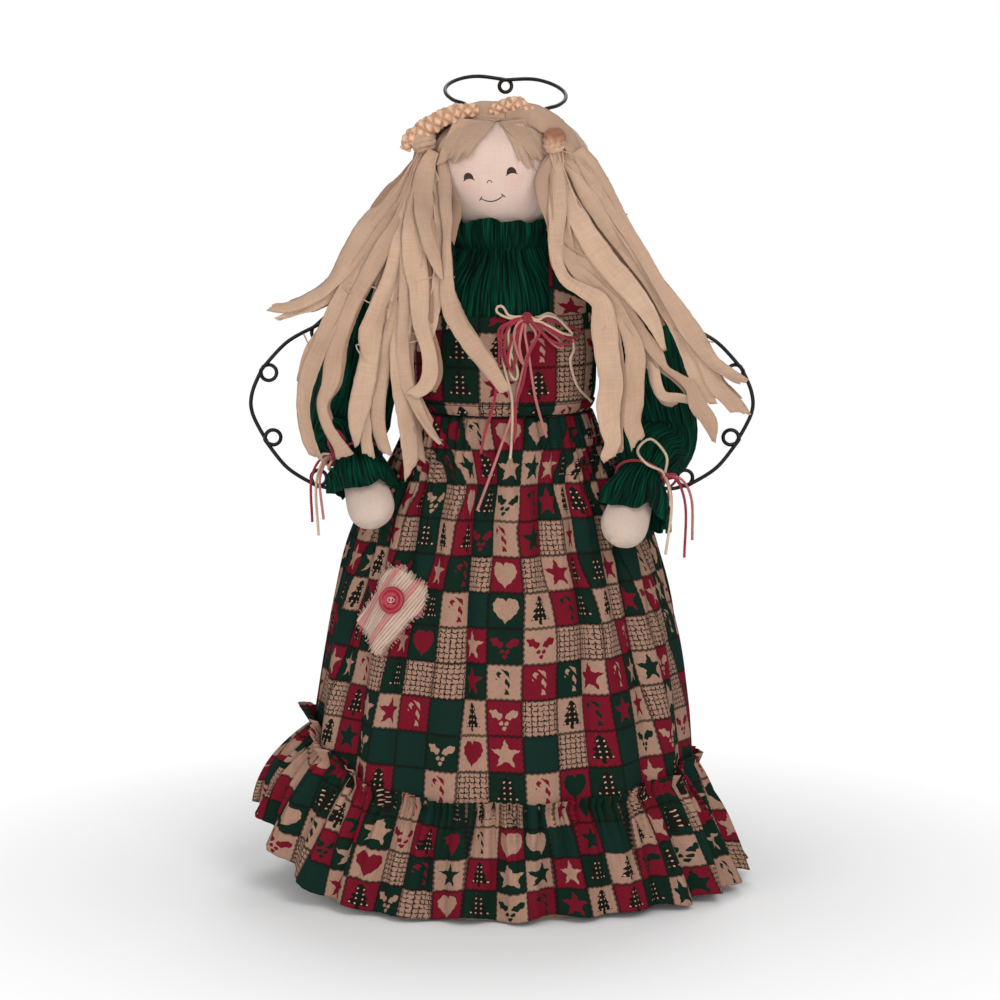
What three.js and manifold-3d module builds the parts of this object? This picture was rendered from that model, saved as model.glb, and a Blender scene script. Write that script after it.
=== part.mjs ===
// A rag-doll angel that stands on the top of a tree: a stuffed muslin doll over a card cone, in a green
// blouse and a patchwork jumper, with torn-muslin hair, wire wings and a wire halo.
// Millimetres, +Z up, the doll faces -Y. The origin is on the ground under the middle of the cone.
import * as THREE from 'three';
import { mergeVertices } from 'three/addons/utils/BufferGeometryUtils.js';
import Module from 'manifold-3d';

const wasm = await Module();
wasm.setup();

// Driving dimensions: clearances and cloth
const FIT = 0.35;
const LAYER_GAP = 0.8;
const CLOTH = 1.2;
const SKIN = 1.2;

// Cone
const CONE_BASE_RADIUS = 92;
const CONE_TOP_RADIUS = 17;
const CONE_HEIGHT = 264;
const CONE_WALL = 1.5;
const CONE_SIDES = 28;

// Stuffed body
const TORSO_HEIGHT = 97;
const TORSO_HALF_WIDTH = 50;
const TORSO_HALF_DEPTH = 35;
const NECK_HALF_WIDTH = 18.5;
const NECK_HALF_DEPTH = 16;
const HEAD_HEIGHT = 76;
const HEAD_HALF_WIDTH = 36;
const HEAD_HALF_DEPTH = 33;
const WRIST_RADIUS = 9.5;
const PALM_RADIUS = 13;
const HAND_FLATNESS = 0.78;

// Blouse
const NECK_EASE = 5;
const FRILL_HEIGHT = 20;
const FRILL_FLARE = 3.5;
const FRILL_WAVES = 14;
const FRILL_WAVE_DEPTH = 1.2;
const SLEEVE_RADIUS = 22.5;
const SHOULDER_DROP = 38;
const CUFF_FLARE = 8.5;
const CUFF_PLUMB = 0.7;
const ELBOW_OUT = 12;
const ELBOW_FORWARD = 8;

// Jumper
const WAISTBAND_HEIGHT = 5.5;
const BIB_HEIGHT = 49;
const BIB_HALF_ANGLE = 1.2;
const STRAP_WIDTH = 20;
const STRAP_X = 36;
const STRAP_EASE = 2.4;
const SKIRT_HEM_HALF_WIDTH = 106;
const SKIRT_HEM_HALF_DEPTH = 96;
const SKIRT_FOLDS = 14;
const SKIRT_FOLD_DEPTH = 3.5;
const RUFFLE_HEIGHT = 62;
const RUFFLE_HALF_WIDTH = 137;
const RUFFLE_HALF_DEPTH = 103;
const RUFFLE_WAVES = 26;
const RUFFLE_WAVE_DEPTH = 5;
const RUFFLE_SPREAD = 0.85;
const HEM_CLEARANCE = 1.5;
const SEAM_LIFT = { left: 16, right: 8 };
const HEM_LIFT = { left: 36, right: 5 };

// Patch and button
const PATCH_WIDTH = 28;
const PATCH_LENGTH = 41;
const PATCH_TURN = 0.6;
const PATCH_ANGLE = -0.72;
const PATCH_Z = 166;
const BUTTON_RADIUS = 7.5;
const BUTTON_HEIGHT = 2.6;
const BUTTON_ALONG = 6;
const BUTTON_KNOT = 2;
const BUTTON_FIT = 0.6;

// Hair
const HAIR_LAYER = 3.4;
const HAIRLINE_Y = 10;
const BANG_GAP = 1.45;
const STRIP_WIDTH = 12.5;
const STRIP_THICK = 1;
const STRIP_PILE = 1.3;
const STRIP_LAYERS = 6;
const HAIR_CLEARANCE = 3;
const TIE_RADIUS = 7;
const TIE_BAND = 3;
const TIE_TURNS = 3;
const TIE_GROOVE = 0.85;
const TIE_SIDES = 12;
const ROLL_RADIUS = 6.5;
const PIGTAIL_ROOT = 5.5;

// Wire and yarn
const WIRE = 2.2;
const CURL_RADIUS = 4.4;
const CASING_WALL = 1.4;
const WING_ROOT_X = 14;
const WING_TURN_GAP = 1;
const HALO_HALF_WIDTH = 34;
const HALO_HALF_DEPTH = 25;
const HALO_RISE = 5;
const HALO_LEG_X = 20;
const HALO_BAR_DROP = 44;
const HALO_LIFT = 3;
const HALO_MIDDLE_X = 2;
const HALO_NEAR = 2.45;
const HALO_CURL_RADIUS = 3.5;
const HALO_CASING = 28;
const YARN = 1.7;
const KNOT_RADIUS = 3.6;
const YARN_LIFT = 1.6;

// Heights that follow from the driving dimensions
const TORSO_Z = CONE_HEIGHT + FIT;
const NECK_Z = TORSO_Z + TORSO_HEIGHT;
const HEAD_Z = NECK_Z + FIT;
const CROWN_Z = HEAD_Z + HEAD_HEIGHT;
const WAIST_Z = TORSO_Z + WAISTBAND_HEIGHT;
const BIB_Z = WAIST_Z + WAISTBAND_HEIGHT + FIT;
const BIB_TOP_Z = BIB_Z + BIB_HEIGHT;

// Colours
const COLOURS = {
  muslin: [0xcdb094, 0.9, 0], skin: [0xdec1b1, 0.9, 0], green: [0x0d3429, 0.8, 0],
  print: [0x6b2a35, 0.9, 0], wire: [0x14110f, 0.45, 0.9], card: [0xa58a66, 0.95, 0],
  stuffing: [0xf0ece2, 1, 0], yarn: [0xa8384a, 0.95, 0], patch: [0xd9c4ae, 0.95, 0],
  button: [0x8c1426, 0.25, 0], thread: [0xd99aa0, 0.9, 0],
};

const doll = new THREE.Group();

function place(name, geometry, colour) {
  const [hex, roughness, metalness] = COLOURS[colour];
  const material = new THREE.MeshStandardMaterial({ color: hex, roughness, metalness });
  const mesh = new THREE.Mesh(geometry, material);
  mesh.name = name;
  doll.add(mesh);
}

const vec = (x, y, z) => new THREE.Vector3(x, y, z);
const mix = THREE.MathUtils.lerp;

// A smooth curve through (place, value) pairs, held level past its ends
function smooth(table, at) {
  const last = table.length - 1;
  if (at <= table[0][0]) return table[0][1];
  if (at >= table[last][0]) return table[last][1];
  const i = table.findIndex((row) => row[0] > at) - 1;
  const slope = (a, b) => (table[b][1] - table[a][1]) / (table[b][0] - table[a][0]);
  const wide = table[i + 1][0] - table[i][0];
  const t = (at - table[i][0]) / wide;
  const m0 = wide * slope(Math.max(i - 1, 0), i + 1);
  const m1 = wide * slope(i, Math.min(i + 2, last));
  const square = t * t;
  const cube = square * t;
  return (2 * cube - 3 * square + 1) * table[i][1] + (cube - 2 * square + t) * m0
    + (3 * square - 2 * cube) * table[i + 1][1] + (cube - square) * m1;
}

// Closed geometry from points and faces, with its faces turned outward
function closed(points, faces) {
  let volume = 0;
  for (const [a, b, c] of faces) volume += points[a].dot(points[b].clone().cross(points[c]));
  const turned = volume < 0 ? faces.map(([a, b, c]) => [a, c, b]) : faces;
  const geometry = new THREE.BufferGeometry();
  geometry.setFromPoints(points);
  geometry.setIndex(turned.flat());
  geometry.computeVertexNormals();
  return geometry;
}

// A solid lofted through rings of points, with a fan at each end
function loft(rings) {
  const sides = rings[0].length;
  const points = rings.flat();
  const faces = [];
  for (let r = 0; r < rings.length - 1; r += 1) {
    for (let s = 0; s < sides; s += 1) {
      const a = r * sides + s;
      const b = r * sides + ((s + 1) % sides);
      faces.push([a, b, b + sides], [a, b + sides, a + sides]);
    }
  }
  for (const [first, flip] of [[0, true], [(rings.length - 1) * sides, false]]) {
    const middle = points.length;
    const centre = vec(0, 0, 0);
    for (let s = 0; s < sides; s += 1) centre.addScaledVector(points[first + s], 1 / sides);
    points.push(centre);
    for (let s = 0; s < sides; s += 1) {
      const next = first + ((s + 1) % sides);
      faces.push(flip ? [middle, next, first + s] : [middle, first + s, next]);
    }
  }
  return closed(points, faces);
}

// A sheet of cloth over a grid of points, closed all round; a ring sheet joins its two sides
function sheet(at, across, along, { thick = CLOTH, ring = false } = {}) {
  const columns = ring ? across : across + 1;
  const step = 1e-3;
  const points = [];
  for (const side of [0.5, -0.5]) {
    for (let j = 0; j <= along; j += 1) {
      for (let i = 0; i < columns; i += 1) {
        const [u, v] = [i / across, j / along];
        const du = at(u + step, v).sub(at(u - step, v));
        const dv = at(u, Math.min(v + step, 1)).sub(at(u, Math.max(v - step, 0)));
        points.push(at(u, v).addScaledVector(du.cross(dv).normalize(), side * thick));
      }
    }
  }
  const layer = columns * (along + 1);
  const faces = [];
  const quad = (a, b, c, d) => faces.push([a, b, c], [a, c, d]);
  const id = (i, j) => j * columns + (i % columns);
  for (let i = 0; i < across; i += 1) {
    for (let j = 0; j < along; j += 1) {
      const corner = [id(i, j), id(i + 1, j), id(i + 1, j + 1), id(i, j + 1)];
      quad(...corner);
      quad(...corner.map((p) => p + layer).reverse());
    }
    quad(id(i + 1, 0), id(i, 0), id(i, 0) + layer, id(i + 1, 0) + layer);
    quad(id(i, along), id(i + 1, along), id(i + 1, along) + layer, id(i, along) + layer);
  }
  for (let j = 0; j < along && !ring; j += 1) {
    quad(id(0, j), id(0, j + 1), id(0, j + 1) + layer, id(0, j) + layer);
    quad(id(across, j + 1), id(across, j), id(across, j) + layer, id(across, j + 1) + layer);
  }
  return closed(points, faces);
}

// A route that spends the same number of steps between each pair of its points
class Route extends THREE.CatmullRomCurve3 {
  getPointAt(u, target) {
    return this.getPoint(u, target);
  }

  getTangentAt(u, target) {
    return this.getTangent(u, target);
  }
}

function tube(points, diameter, { sides = 5, steps = 1 } = {}) {
  const corners = [];
  for (let s = 0; s < sides; s += 1) {
    const turn = (2 * Math.PI * s) / sides;
    corners.push(new THREE.Vector2(Math.cos(turn), Math.sin(turn)).multiplyScalar(diameter / 2));
  }
  return new THREE.ExtrudeGeometry(new THREE.Shape(corners), {
    steps: steps * (points.length - 1), bevelEnabled: false, extrudePath: new Route(points),
  });
}

function solid(geometry) {
  const bare = geometry.clone();
  bare.deleteAttribute('normal');
  bare.deleteAttribute('uv');
  const merged = mergeVertices(bare, 1e-3);
  return new wasm.Manifold(new wasm.Mesh({
    numProp: 3, vertProperties: new Float32Array(merged.attributes.position.array),
    triVerts: new Uint32Array(merged.index.array),
  }));
}

function meshed(body) {
  const { vertProperties, triVerts, numProp } = body.getMesh();
  const geometry = new THREE.BufferGeometry();
  const place3 = new Float32Array((vertProperties.length / numProp) * 3);
  for (let i = 0; i < place3.length; i += 1) {
    place3[i] = vertProperties[Math.floor(i / 3) * numProp + (i % 3)];
  }
  geometry.setAttribute('position', new THREE.BufferAttribute(place3, 3));
  geometry.setIndex(new THREE.BufferAttribute(new Uint32Array(triVerts), 1));
  return geometry;
}

// Joined parts, with any void that they close between them filled
function join(...parts) {
  const shells = parts.map(solid).reduce((all, part) => all.add(part)).decompose();
  return meshed(shells.reduce((best, shell) => (shell.volume() > best.volume() ? shell : best)));
}
function cut(first, ...tools) {
  return meshed(tools.map(solid).reduce((all, tool) => all.subtract(tool), solid(first)));
}

const ball = (at, radius) => new THREE.IcosahedronGeometry(radius, 1).translate(at.x, at.y, at.z);

// A solid of revolution about Y, from rows of radius and height
function turned(rows, sides) {
  return new THREE.LatheGeometry(rows.map(([r, h]) => new THREE.Vector2(r, h)), sides);
}

// Section shapes of the doll: half width and half depth at a height
const TORSO_SHAPE = [
  [0, 0.7], [0.12, 0.95], [0.3, 1], [0.5, 1], [0.68, 0.9], [0.82, 0.62], [0.93, 0.2], [1, 0],
];
const FACE_SHAPE = [[0, 0], [0.1, 0.03], [0.2, 0.18], [0.3, 0.5], [0.42, 0.82], [0.55, 1]];
const CROWN_MIDDLE = 0.6;
const CROWN_SHAPE = [
  [0.55, 1], [0.66, 0.99], [0.77, 0.92], [0.87, 0.76], [0.94, 0.56], [0.985, 0.3], [1, 0.14],
];

function torsoAt(z) {
  const swell = smooth(TORSO_SHAPE, (z - TORSO_Z) / TORSO_HEIGHT);
  return [mix(NECK_HALF_WIDTH, TORSO_HALF_WIDTH, swell), mix(NECK_HALF_DEPTH, TORSO_HALF_DEPTH, swell)];
}

function headAt(z) {
  const t = (z - HEAD_Z) / HEAD_HEIGHT;
  const swell = smooth(FACE_SHAPE, t);
  const crown = smooth(CROWN_SHAPE, t);
  return [crown * mix(NECK_HALF_WIDTH, HEAD_HALF_WIDTH, swell),
    crown * mix(NECK_HALF_DEPTH, HEAD_HALF_DEPTH, swell)];
}

// A point round the doll: the angle is 0 at the front and positive towards +X
function around([halfWidth, halfDepth], angle, z, out = 0) {
  return vec((halfWidth + out) * Math.sin(angle), -(halfDepth + out) * Math.cos(angle), z);
}

// The front of an oval section at a place across the doll
function frontOf([halfWidth, halfDepth], x, out = 0) {
  const share = Math.min(Math.abs(x) / (halfWidth + out), 1);
  return -(halfDepth + out) * Math.sqrt(1 - share * share);
}

// A solid of oval sections, drawn in by an offset and by an amount at each end
function ovalLoft(at, levels, sides, { out = 0, below = 0, above = 0 } = {}) {
  return loft(levels.map((level, r) => {
    const z = level + (r === 0 ? below : 0) - (r === levels.length - 1 ? above : 0);
    return Array.from({ length: sides }, (_, s) => around(at(level), (2 * Math.PI * s) / sides, z, out));
  }));
}

// Cone
const cone = [[CONE_BASE_RADIUS, 0], [CONE_TOP_RADIUS, CONE_HEIGHT],
  [CONE_TOP_RADIUS - CONE_WALL, CONE_HEIGHT], [CONE_BASE_RADIUS - CONE_WALL, 0], [CONE_BASE_RADIUS, 0]];
place('inner_cone', turned(cone, CONE_SIDES).rotateX(Math.PI / 2), 'card');

// Head and torso: an open-ended skin round its stuffing
const HEAD_SIDES = 16;
const TORSO_LEVELS = [0, 0.12, 0.4, 0.62, 0.78, 0.9, 1].map((t) => TORSO_Z + t * TORSO_HEIGHT);
const HEAD_LEVELS = [0, 0.12, 0.26, 0.4, 0.55, 0.68, 0.8, 0.9, 0.97, 1]
  .map((t) => HEAD_Z + t * HEAD_HEIGHT);

function stuffed(name, at, levels, colour) {
  const fill = SKIN + FIT;
  const hollow = ovalLoft(at, levels, HEAD_SIDES, { out: -SKIN, below: -SKIN, above: SKIN });
  place(`${name}_skin`, cut(ovalLoft(at, levels, HEAD_SIDES), hollow), colour);
  place(`${name}_stuffing`, ovalLoft(at, levels, HEAD_SIDES, { out: -fill, above: fill }), 'stuffing');
}
stuffed('torso', torsoAt, TORSO_LEVELS, 'muslin');
stuffed('head', headAt, HEAD_LEVELS, 'skin');

// Bodice layers, outward from the torso
const BODY_SIDES = 24;
const BLOUSE_OUT = LAYER_GAP + CLOTH / 2;
const JUMPER_OUT = BLOUSE_OUT + CLOTH + LAYER_GAP;
const EASE_SHAPE = [[0.7, 0], [0.85, 0.3], [1, 1]];

function blouseAt(z) {
  const ease = NECK_EASE * smooth(EASE_SHAPE, (z - TORSO_Z) / TORSO_HEIGHT);
  return torsoAt(z).map((half) => half + ease);
}
const blousePoint = (u, v) => {
  const z = mix(TORSO_Z, NECK_Z, v);
  return around(blouseAt(z), 2 * Math.PI * u, z, BLOUSE_OUT);
};
place('blouse_bodice', sheet(blousePoint, BODY_SIDES, 8, { ring: true }), 'green');

const frillPoint = (u, v) => {
  const angle = 2 * Math.PI * u;
  const wave = FRILL_WAVE_DEPTH * v * Math.cos(FRILL_WAVES * angle);
  const z = NECK_Z + LAYER_GAP + FRILL_HEIGHT * v;
  return around(blouseAt(NECK_Z), angle, z, BLOUSE_OUT + FRILL_FLARE * v + wave);
};
place('neck_frill', sheet(frillPoint, 4 * FRILL_WAVES, 1, { ring: true }), 'green');

// Jumper bib, straps and waistband
function bodicePanel(middle) {
  return (u, v) => {
    const z = mix(BIB_Z, BIB_TOP_Z, v);
    return around(blouseAt(z), middle + mix(-BIB_HALF_ANGLE, BIB_HALF_ANGLE, u), z, JUMPER_OUT);
  };
}
place('bib_front', sheet(bodicePanel(0), 10, 4), 'print');
place('bib_back', sheet(bodicePanel(Math.PI), 10, 4), 'print');

// The height of the shoulder over a place on the plan
function shoulderTop(x, y, out) {
  let [low, high] = [BIB_TOP_Z, NECK_Z];
  for (let i = 0; i < 30; i += 1) {
    const z = (low + high) / 2;
    const [halfWidth, halfDepth] = blouseAt(z);
    if (Math.hypot(x / (halfWidth + out), y / (halfDepth + out)) < 1) low = z;
    else high = z;
  }
  return low;
}
for (const [name, side] of [['left', -1], ['right', 1]]) {
  const strapPoint = (u, v) => {
    const x = STRAP_X + (u - 0.5) * STRAP_WIDTH;
    const out = JUMPER_OUT + STRAP_EASE;
    const y = frontOf(blouseAt(BIB_TOP_Z), x, out) * Math.cos(Math.PI * v);
    return vec(side * x, y, shoulderTop(x, y, out) + FIT);
  };
  place(`strap_${name}`, sheet(strapPoint, 3, 12), 'print');
}
const bandPoint = (u, v) => {
  const z = mix(WAIST_Z, WAIST_Z + WAISTBAND_HEIGHT, v);
  return around(blouseAt(z), 2 * Math.PI * u, z, JUMPER_OUT);
};
place('waistband', sheet(bandPoint, BODY_SIDES, 1, { ring: true }), 'print');

// Skirt: drawn in at the waist, wide at the hem, with folds; the patch sits on the crest of one
const SKIRT_TOP_Z = WAIST_Z - LAYER_GAP;
const SIDE_SHAPE = [
  [0, 0], [0.07, 0.11], [0.12, 0.2], [0.19, 0.35], [0.29, 0.56], [0.56, 0.81], [0.81, 0.94], [1, 1],
];
const FRONT_SHAPE = [
  [0, 0], [0.07, 0.15], [0.12, 0.21], [0.19, 0.3], [0.29, 0.38], [0.56, 0.66], [0.81, 0.88], [1, 1],
];

function skirtAt(z) {
  const t = (SKIRT_TOP_Z - z) / (SKIRT_TOP_Z - RUFFLE_HEIGHT);
  const [waistWidth, waistDepth] = blouseAt(WAIST_Z).map((half) => half + JUMPER_OUT);
  return [mix(waistWidth, SKIRT_HEM_HALF_WIDTH, smooth(SIDE_SHAPE, t)),
    mix(waistDepth, SKIRT_HEM_HALF_DEPTH, smooth(FRONT_SHAPE, t))];
}
function skirtFold(angle, z) {
  const t = THREE.MathUtils.clamp((SKIRT_TOP_Z - z) / (SKIRT_TOP_Z - RUFFLE_HEIGHT), 0, 1);
  return SKIRT_FOLD_DEPTH * mix(0.1, 1, t) * Math.cos(SKIRT_FOLDS * (angle - PATCH_ANGLE));
}
function sideLift(lift, angle, power) {
  const share = Math.sin(angle);
  return (share < 0 ? lift.left : lift.right) * Math.abs(share) ** power;
}
const seamZ = (angle) => RUFFLE_HEIGHT + sideLift(SEAM_LIFT, angle, 3);
const hemZ = (angle) => HEM_CLEARANCE + sideLift(HEM_LIFT, angle, 6);
const skirtPoint = (angle, z, out = 0) => around(skirtAt(z), angle, z, skirtFold(angle, z) + out);
const HALF_TURN = Math.PI / 2 - FIT / SKIRT_HEM_HALF_DEPTH;

for (const [name, middle] of [['front', 0], ['back', Math.PI]]) {
  const angleAt = (u) => middle + mix(-HALF_TURN, HALF_TURN, u);
  const panel = (u, v) => skirtPoint(angleAt(u), mix(SKIRT_TOP_Z, seamZ(angleAt(u)), v));
  place(`skirt_${name}`, sheet(panel, 28, 5), 'print');
  const ruffle = (u, v) => {
    const angle = angleAt(u);
    const top = seamZ(angle) - LAYER_GAP;
    const z = mix(top, hemZ(angle), v);
    const [width, depth] = skirtAt(top);
    const wave = RUFFLE_WAVE_DEPTH * Math.sin(RUFFLE_WAVES * angle);
    const out = mix(skirtFold(angle, top), wave, v);
    const fallen = v ** RUFFLE_SPREAD;
    const oval = [mix(width, RUFFLE_HALF_WIDTH, fallen), mix(depth, RUFFLE_HALF_DEPTH, fallen)];
    return around(oval, angle, z, out);
  };
  place(`ruffle_${name}`, sheet(ruffle, 2 * RUFFLE_WAVES, 2), 'print');
}

// Patch, turned on the skirt, with its button and the knot of the button's thread
const PATCH_OUT = CLOTH + LAYER_GAP;
function patchPoint(across, along, out) {
  const z = PATCH_Z + along * Math.cos(PATCH_TURN) - across * Math.sin(PATCH_TURN);
  const x = across * Math.cos(PATCH_TURN) + along * Math.sin(PATCH_TURN);
  const [halfWidth, halfDepth] = skirtAt(PATCH_Z);
  const perRadian = Math.hypot(halfWidth * Math.cos(PATCH_ANGLE), halfDepth * Math.sin(PATCH_ANGLE));
  return skirtPoint(PATCH_ANGLE + x / perRadian, z, out);
}
const patchSheet = (u, v) => patchPoint((u - 0.5) * PATCH_WIDTH, (v - 0.5) * PATCH_LENGTH, PATCH_OUT);
place('patch', sheet(patchSheet, 5, 6), 'patch');

const buttonSeat = patchPoint(0, BUTTON_ALONG, PATCH_OUT);
const patchNormal = patchPoint(1, BUTTON_ALONG, PATCH_OUT).sub(buttonSeat)
  .cross(patchPoint(0, BUTTON_ALONG + 1, PATCH_OUT).sub(buttonSeat)).normalize();
function onPatch(profile, sides, lift) {
  const geometry = turned(profile, sides);
  geometry.applyQuaternion(new THREE.Quaternion().setFromUnitVectors(vec(0, 1, 0), patchNormal));
  const seat = buttonSeat.clone().addScaledVector(patchNormal, lift);
  return geometry.translate(seat.x, seat.y, seat.z);
}
const DISH_RADIUS = BUTTON_RADIUS * 0.62;
const DISH_HEIGHT = BUTTON_HEIGHT * 0.55;
const button = [[0, 0], [BUTTON_RADIUS * 0.8, 0], [BUTTON_RADIUS, BUTTON_HEIGHT * 0.45],
  [BUTTON_RADIUS * 0.9, BUTTON_HEIGHT], [DISH_RADIUS * 1.15, BUTTON_HEIGHT],
  [DISH_RADIUS, DISH_HEIGHT], [0, DISH_HEIGHT]];
const buttonLift = CLOTH / 2 + BUTTON_FIT;
place('button', onPatch(button, 18, buttonLift), 'button');
const knot = [[0, 0], [1, 0], [1, 0.4], [0.6, 0.75], [0, 0.9]]
  .map((row) => row.map((share) => share * BUTTON_KNOT));
place('button_thread', onPatch(knot, 8, buttonLift + DISH_HEIGHT + FIT), 'thread');

// Arms: each hangs from a shoulder, swings out to the elbow and forward to a hand that clears the skirt
const SHOULDER_Z = NECK_Z - SHOULDER_DROP;
const SHOULDER_X = blouseAt(SHOULDER_Z)[0] + BLOUSE_OUT + CLOTH / 2 + FIT + SLEEVE_RADIUS;
const TIE_OUT = WRIST_RADIUS + LAYER_GAP + CLOTH / 2;
const ARM_SIDES = 10;
const SLEEVE_HEAD_TURNS = [1.45, 0.95, 0.45];

// Rings across a route, each round or flattened from front to back
function ringsAlong(stations, sides, out = 0) {
  const route = new THREE.CatmullRomCurve3(stations.map((row) => row.at));
  return stations.map((row, i) => {
    const along = route.getTangent(i / (stations.length - 1));
    along.lerp(vec(0, 0, -1), row.plumb ?? 0).normalize();
    const side = along.clone().cross(vec(0, 1, 0)).normalize();
    const front = side.clone().cross(along);
    const ring = [];
    for (let s = 0; s < sides; s += 1) {
      const turn = (2 * Math.PI * s) / sides;
      ring.push(row.at.clone().addScaledVector(side, (row.radius + out) * Math.cos(turn))
        .addScaledVector(front, ((row.flat ?? 1) * row.radius + out) * Math.sin(turn)));
    }
    return ring;
  });
}

function arm(name, side, pose) {
  const shoulder = vec(side * SHOULDER_X, 0, SHOULDER_Z);
  const restOn = (x, z, radius) => frontOf(skirtAt(z), x - radius, SKIRT_FOLD_DEPTH + CLOTH) - radius;
  const elbowZ = SHOULDER_Z - pose.elbow;
  const elbowRoom = skirtAt(elbowZ)[0] + SKIRT_FOLD_DEPTH + CLOTH + SLEEVE_RADIUS;
  const elbowX = Math.max(SHOULDER_X + ELBOW_OUT, elbowRoom);
  const elbow = vec(side * elbowX, -ELBOW_FORWARD, elbowZ);
  const palmX = SHOULDER_X + pose.palmOut;
  const palmZ = SHOULDER_Z - pose.palm;
  const palm = vec(side * palmX, restOn(palmX, palmZ, PALM_RADIUS), palmZ);
  const wrist = elbow.clone().lerp(palm, pose.wristShare);
  const tip = palm.clone().addScaledVector(palm.clone().sub(wrist).normalize(), PALM_RADIUS);
  const upper = shoulder.clone().lerp(elbow, 0.4);
  const top = shoulder.clone().add(vec(0, 0, SLEEVE_RADIUS - 2 * CLOTH - FIT));
  const limb = [
    { at: top, radius: WRIST_RADIUS * 0.5 },
    { at: shoulder.clone().add(vec(0, 0, SLEEVE_RADIUS * 0.6)), radius: WRIST_RADIUS },
    { at: shoulder, radius: WRIST_RADIUS * 1.1 },
    { at: upper, radius: WRIST_RADIUS * 1.2 },
    { at: elbow, radius: WRIST_RADIUS * 1.1 },
    { at: wrist, radius: WRIST_RADIUS },
    { at: wrist.clone().lerp(palm, 0.5), radius: PALM_RADIUS * 0.88, flat: mix(1, HAND_FLATNESS, 0.5) },
    { at: palm, radius: PALM_RADIUS, flat: HAND_FLATNESS },
    { at: palm.clone().lerp(tip, 0.65), radius: PALM_RADIUS * 0.78, flat: HAND_FLATNESS },
    { at: tip, radius: PALM_RADIUS * 0.35, flat: HAND_FLATNESS },
  ];
  const shorten = (rows, start, end) => rows.map((row, i) => {
    const at = row.at.clone();
    if (i === 0) at.z += start;
    if (i === rows.length - 1) at.lerp(rows[i - 1].at, end / at.distanceTo(rows[i - 1].at));
    return { ...row, at };
  });
  const hollow = loft(ringsAlong(shorten(limb, SKIN, SKIN), ARM_SIDES, -SKIN));
  place(`arm_${name}_skin`, cut(loft(ringsAlong(limb, ARM_SIDES)), hollow), 'skin');
  const fill = SKIN + FIT;
  place(`arm_${name}_stuffing`, loft(ringsAlong(shorten(limb, 0, fill), ARM_SIDES, -fill)), 'stuffing');

  const puff = SLEEVE_RADIUS - CLOTH / 2;
  const dome = SLEEVE_HEAD_TURNS.map((turn) => ({
    at: shoulder.clone().add(vec(0, 0, puff * Math.sin(turn))), radius: puff * Math.cos(turn),
  }));
  const cloth = [
    ...dome,
    { at: shoulder, radius: puff },
    { at: upper, radius: puff },
    { at: elbow, radius: puff },
    { at: elbow.clone().lerp(wrist, 0.55), radius: mix(puff, TIE_OUT, 0.4) },
    { at: wrist, radius: TIE_OUT },
    { at: wrist.clone().lerp(palm, 0.3), radius: TIE_OUT + CUFF_FLARE * 0.7, plumb: CUFF_PLUMB },
    { at: wrist.clone().lerp(palm, 0.6), radius: TIE_OUT + CUFF_FLARE, plumb: CUFF_PLUMB },
  ];
  const stack = ringsAlong(cloth, ARM_SIDES);
  const sleevePoint = (u, v) => {
    const row = THREE.MathUtils.clamp(v * (cloth.length - 1), 0, cloth.length - 1);
    const column = (((u % 1) + 1) % 1) * ARM_SIDES;
    const j = Math.min(Math.floor(row), cloth.length - 2);
    const i = Math.floor(column) % ARM_SIDES;
    const share = column - Math.floor(column);
    const corner = (r, c) => stack[r][c % ARM_SIDES].clone();
    const near = corner(j, i).lerp(corner(j, i + 1), share);
    const far = corner(j + 1, i).lerp(corner(j + 1, i + 1), share);
    return near.lerp(far, row - j);
  };
  place(`sleeve_${name}`, sheet(sleevePoint, ARM_SIDES, cloth.length - 1, { ring: true }), 'green');
  const tieRow = cloth.findIndex((row) => row.at === wrist);
  const along = stack[tieRow][0].clone().sub(wrist).cross(stack[tieRow][1].clone().sub(wrist)).normalize();
  return { side, wrist, along, front: wrist.y - TIE_OUT };
}
const armLeft = arm('left', -1, { elbow: 61, palm: 101, palmOut: -2, wristShare: 0.42 });
const armRight = arm('right', 1, { elbow: 65, palm: 110, palmOut: -7, wristShare: 0.5 });

// Hair cap over the crown and the back of the head, open over the face
const CAP_OUT = LAYER_GAP + HAIR_LAYER;
const FRILL_TOP_Z = NECK_Z + LAYER_GAP + FRILL_HEIGHT;
const capLevels = HEAD_LEVELS.filter((z) => z > FRILL_TOP_Z + LAYER_GAP);
const headRoom = { out: LAYER_GAP, below: -HAIR_LAYER, above: -LAYER_GAP };
const capHollow = ovalLoft(headAt, capLevels, HEAD_SIDES, headRoom);
const faceRoom = new THREE.BoxGeometry(4 * HEAD_HALF_WIDTH, 2 * HEAD_HALF_DEPTH, 2 * HEAD_HEIGHT)
  .translate(0, -HAIRLINE_Y - HEAD_HALF_DEPTH, CROWN_Z);
const cap = ovalLoft(headAt, capLevels, HEAD_SIDES, { out: CAP_OUT, above: -CAP_OUT });
place('hair_cap', cut(cap, capHollow, faceRoom), 'muslin');

// Bangs: each a flap on the forehead between two edges, given across the head and below the crown
const BANGS = {
  left: { top: [[-4, 4], [-25, 10]], bottom: [[-19, 24], [-32, 26]] },
  right: { top: [[-2, 4], [25, 10]], bottom: [[9, 25], [19, 28]] },
};
for (const [name, { top, bottom }] of Object.entries(BANGS)) {
  const bangPoint = (u, v) => {
    const corner = (k) => mix(mix(top[0][k], top[1][k], u), mix(bottom[0][k], bottom[1][k], u), v);
    const z = CROWN_Z - corner(1);
    return vec(corner(0), frontOf(headAt(z), corner(0), BANG_GAP + CLOTH / 2), z);
  };
  place(`bang_${name}`, sheet(bangPoint, 5, 4), 'muslin');
}

const TIE_HEIGHT = TIE_TURNS * TIE_BAND;

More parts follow.
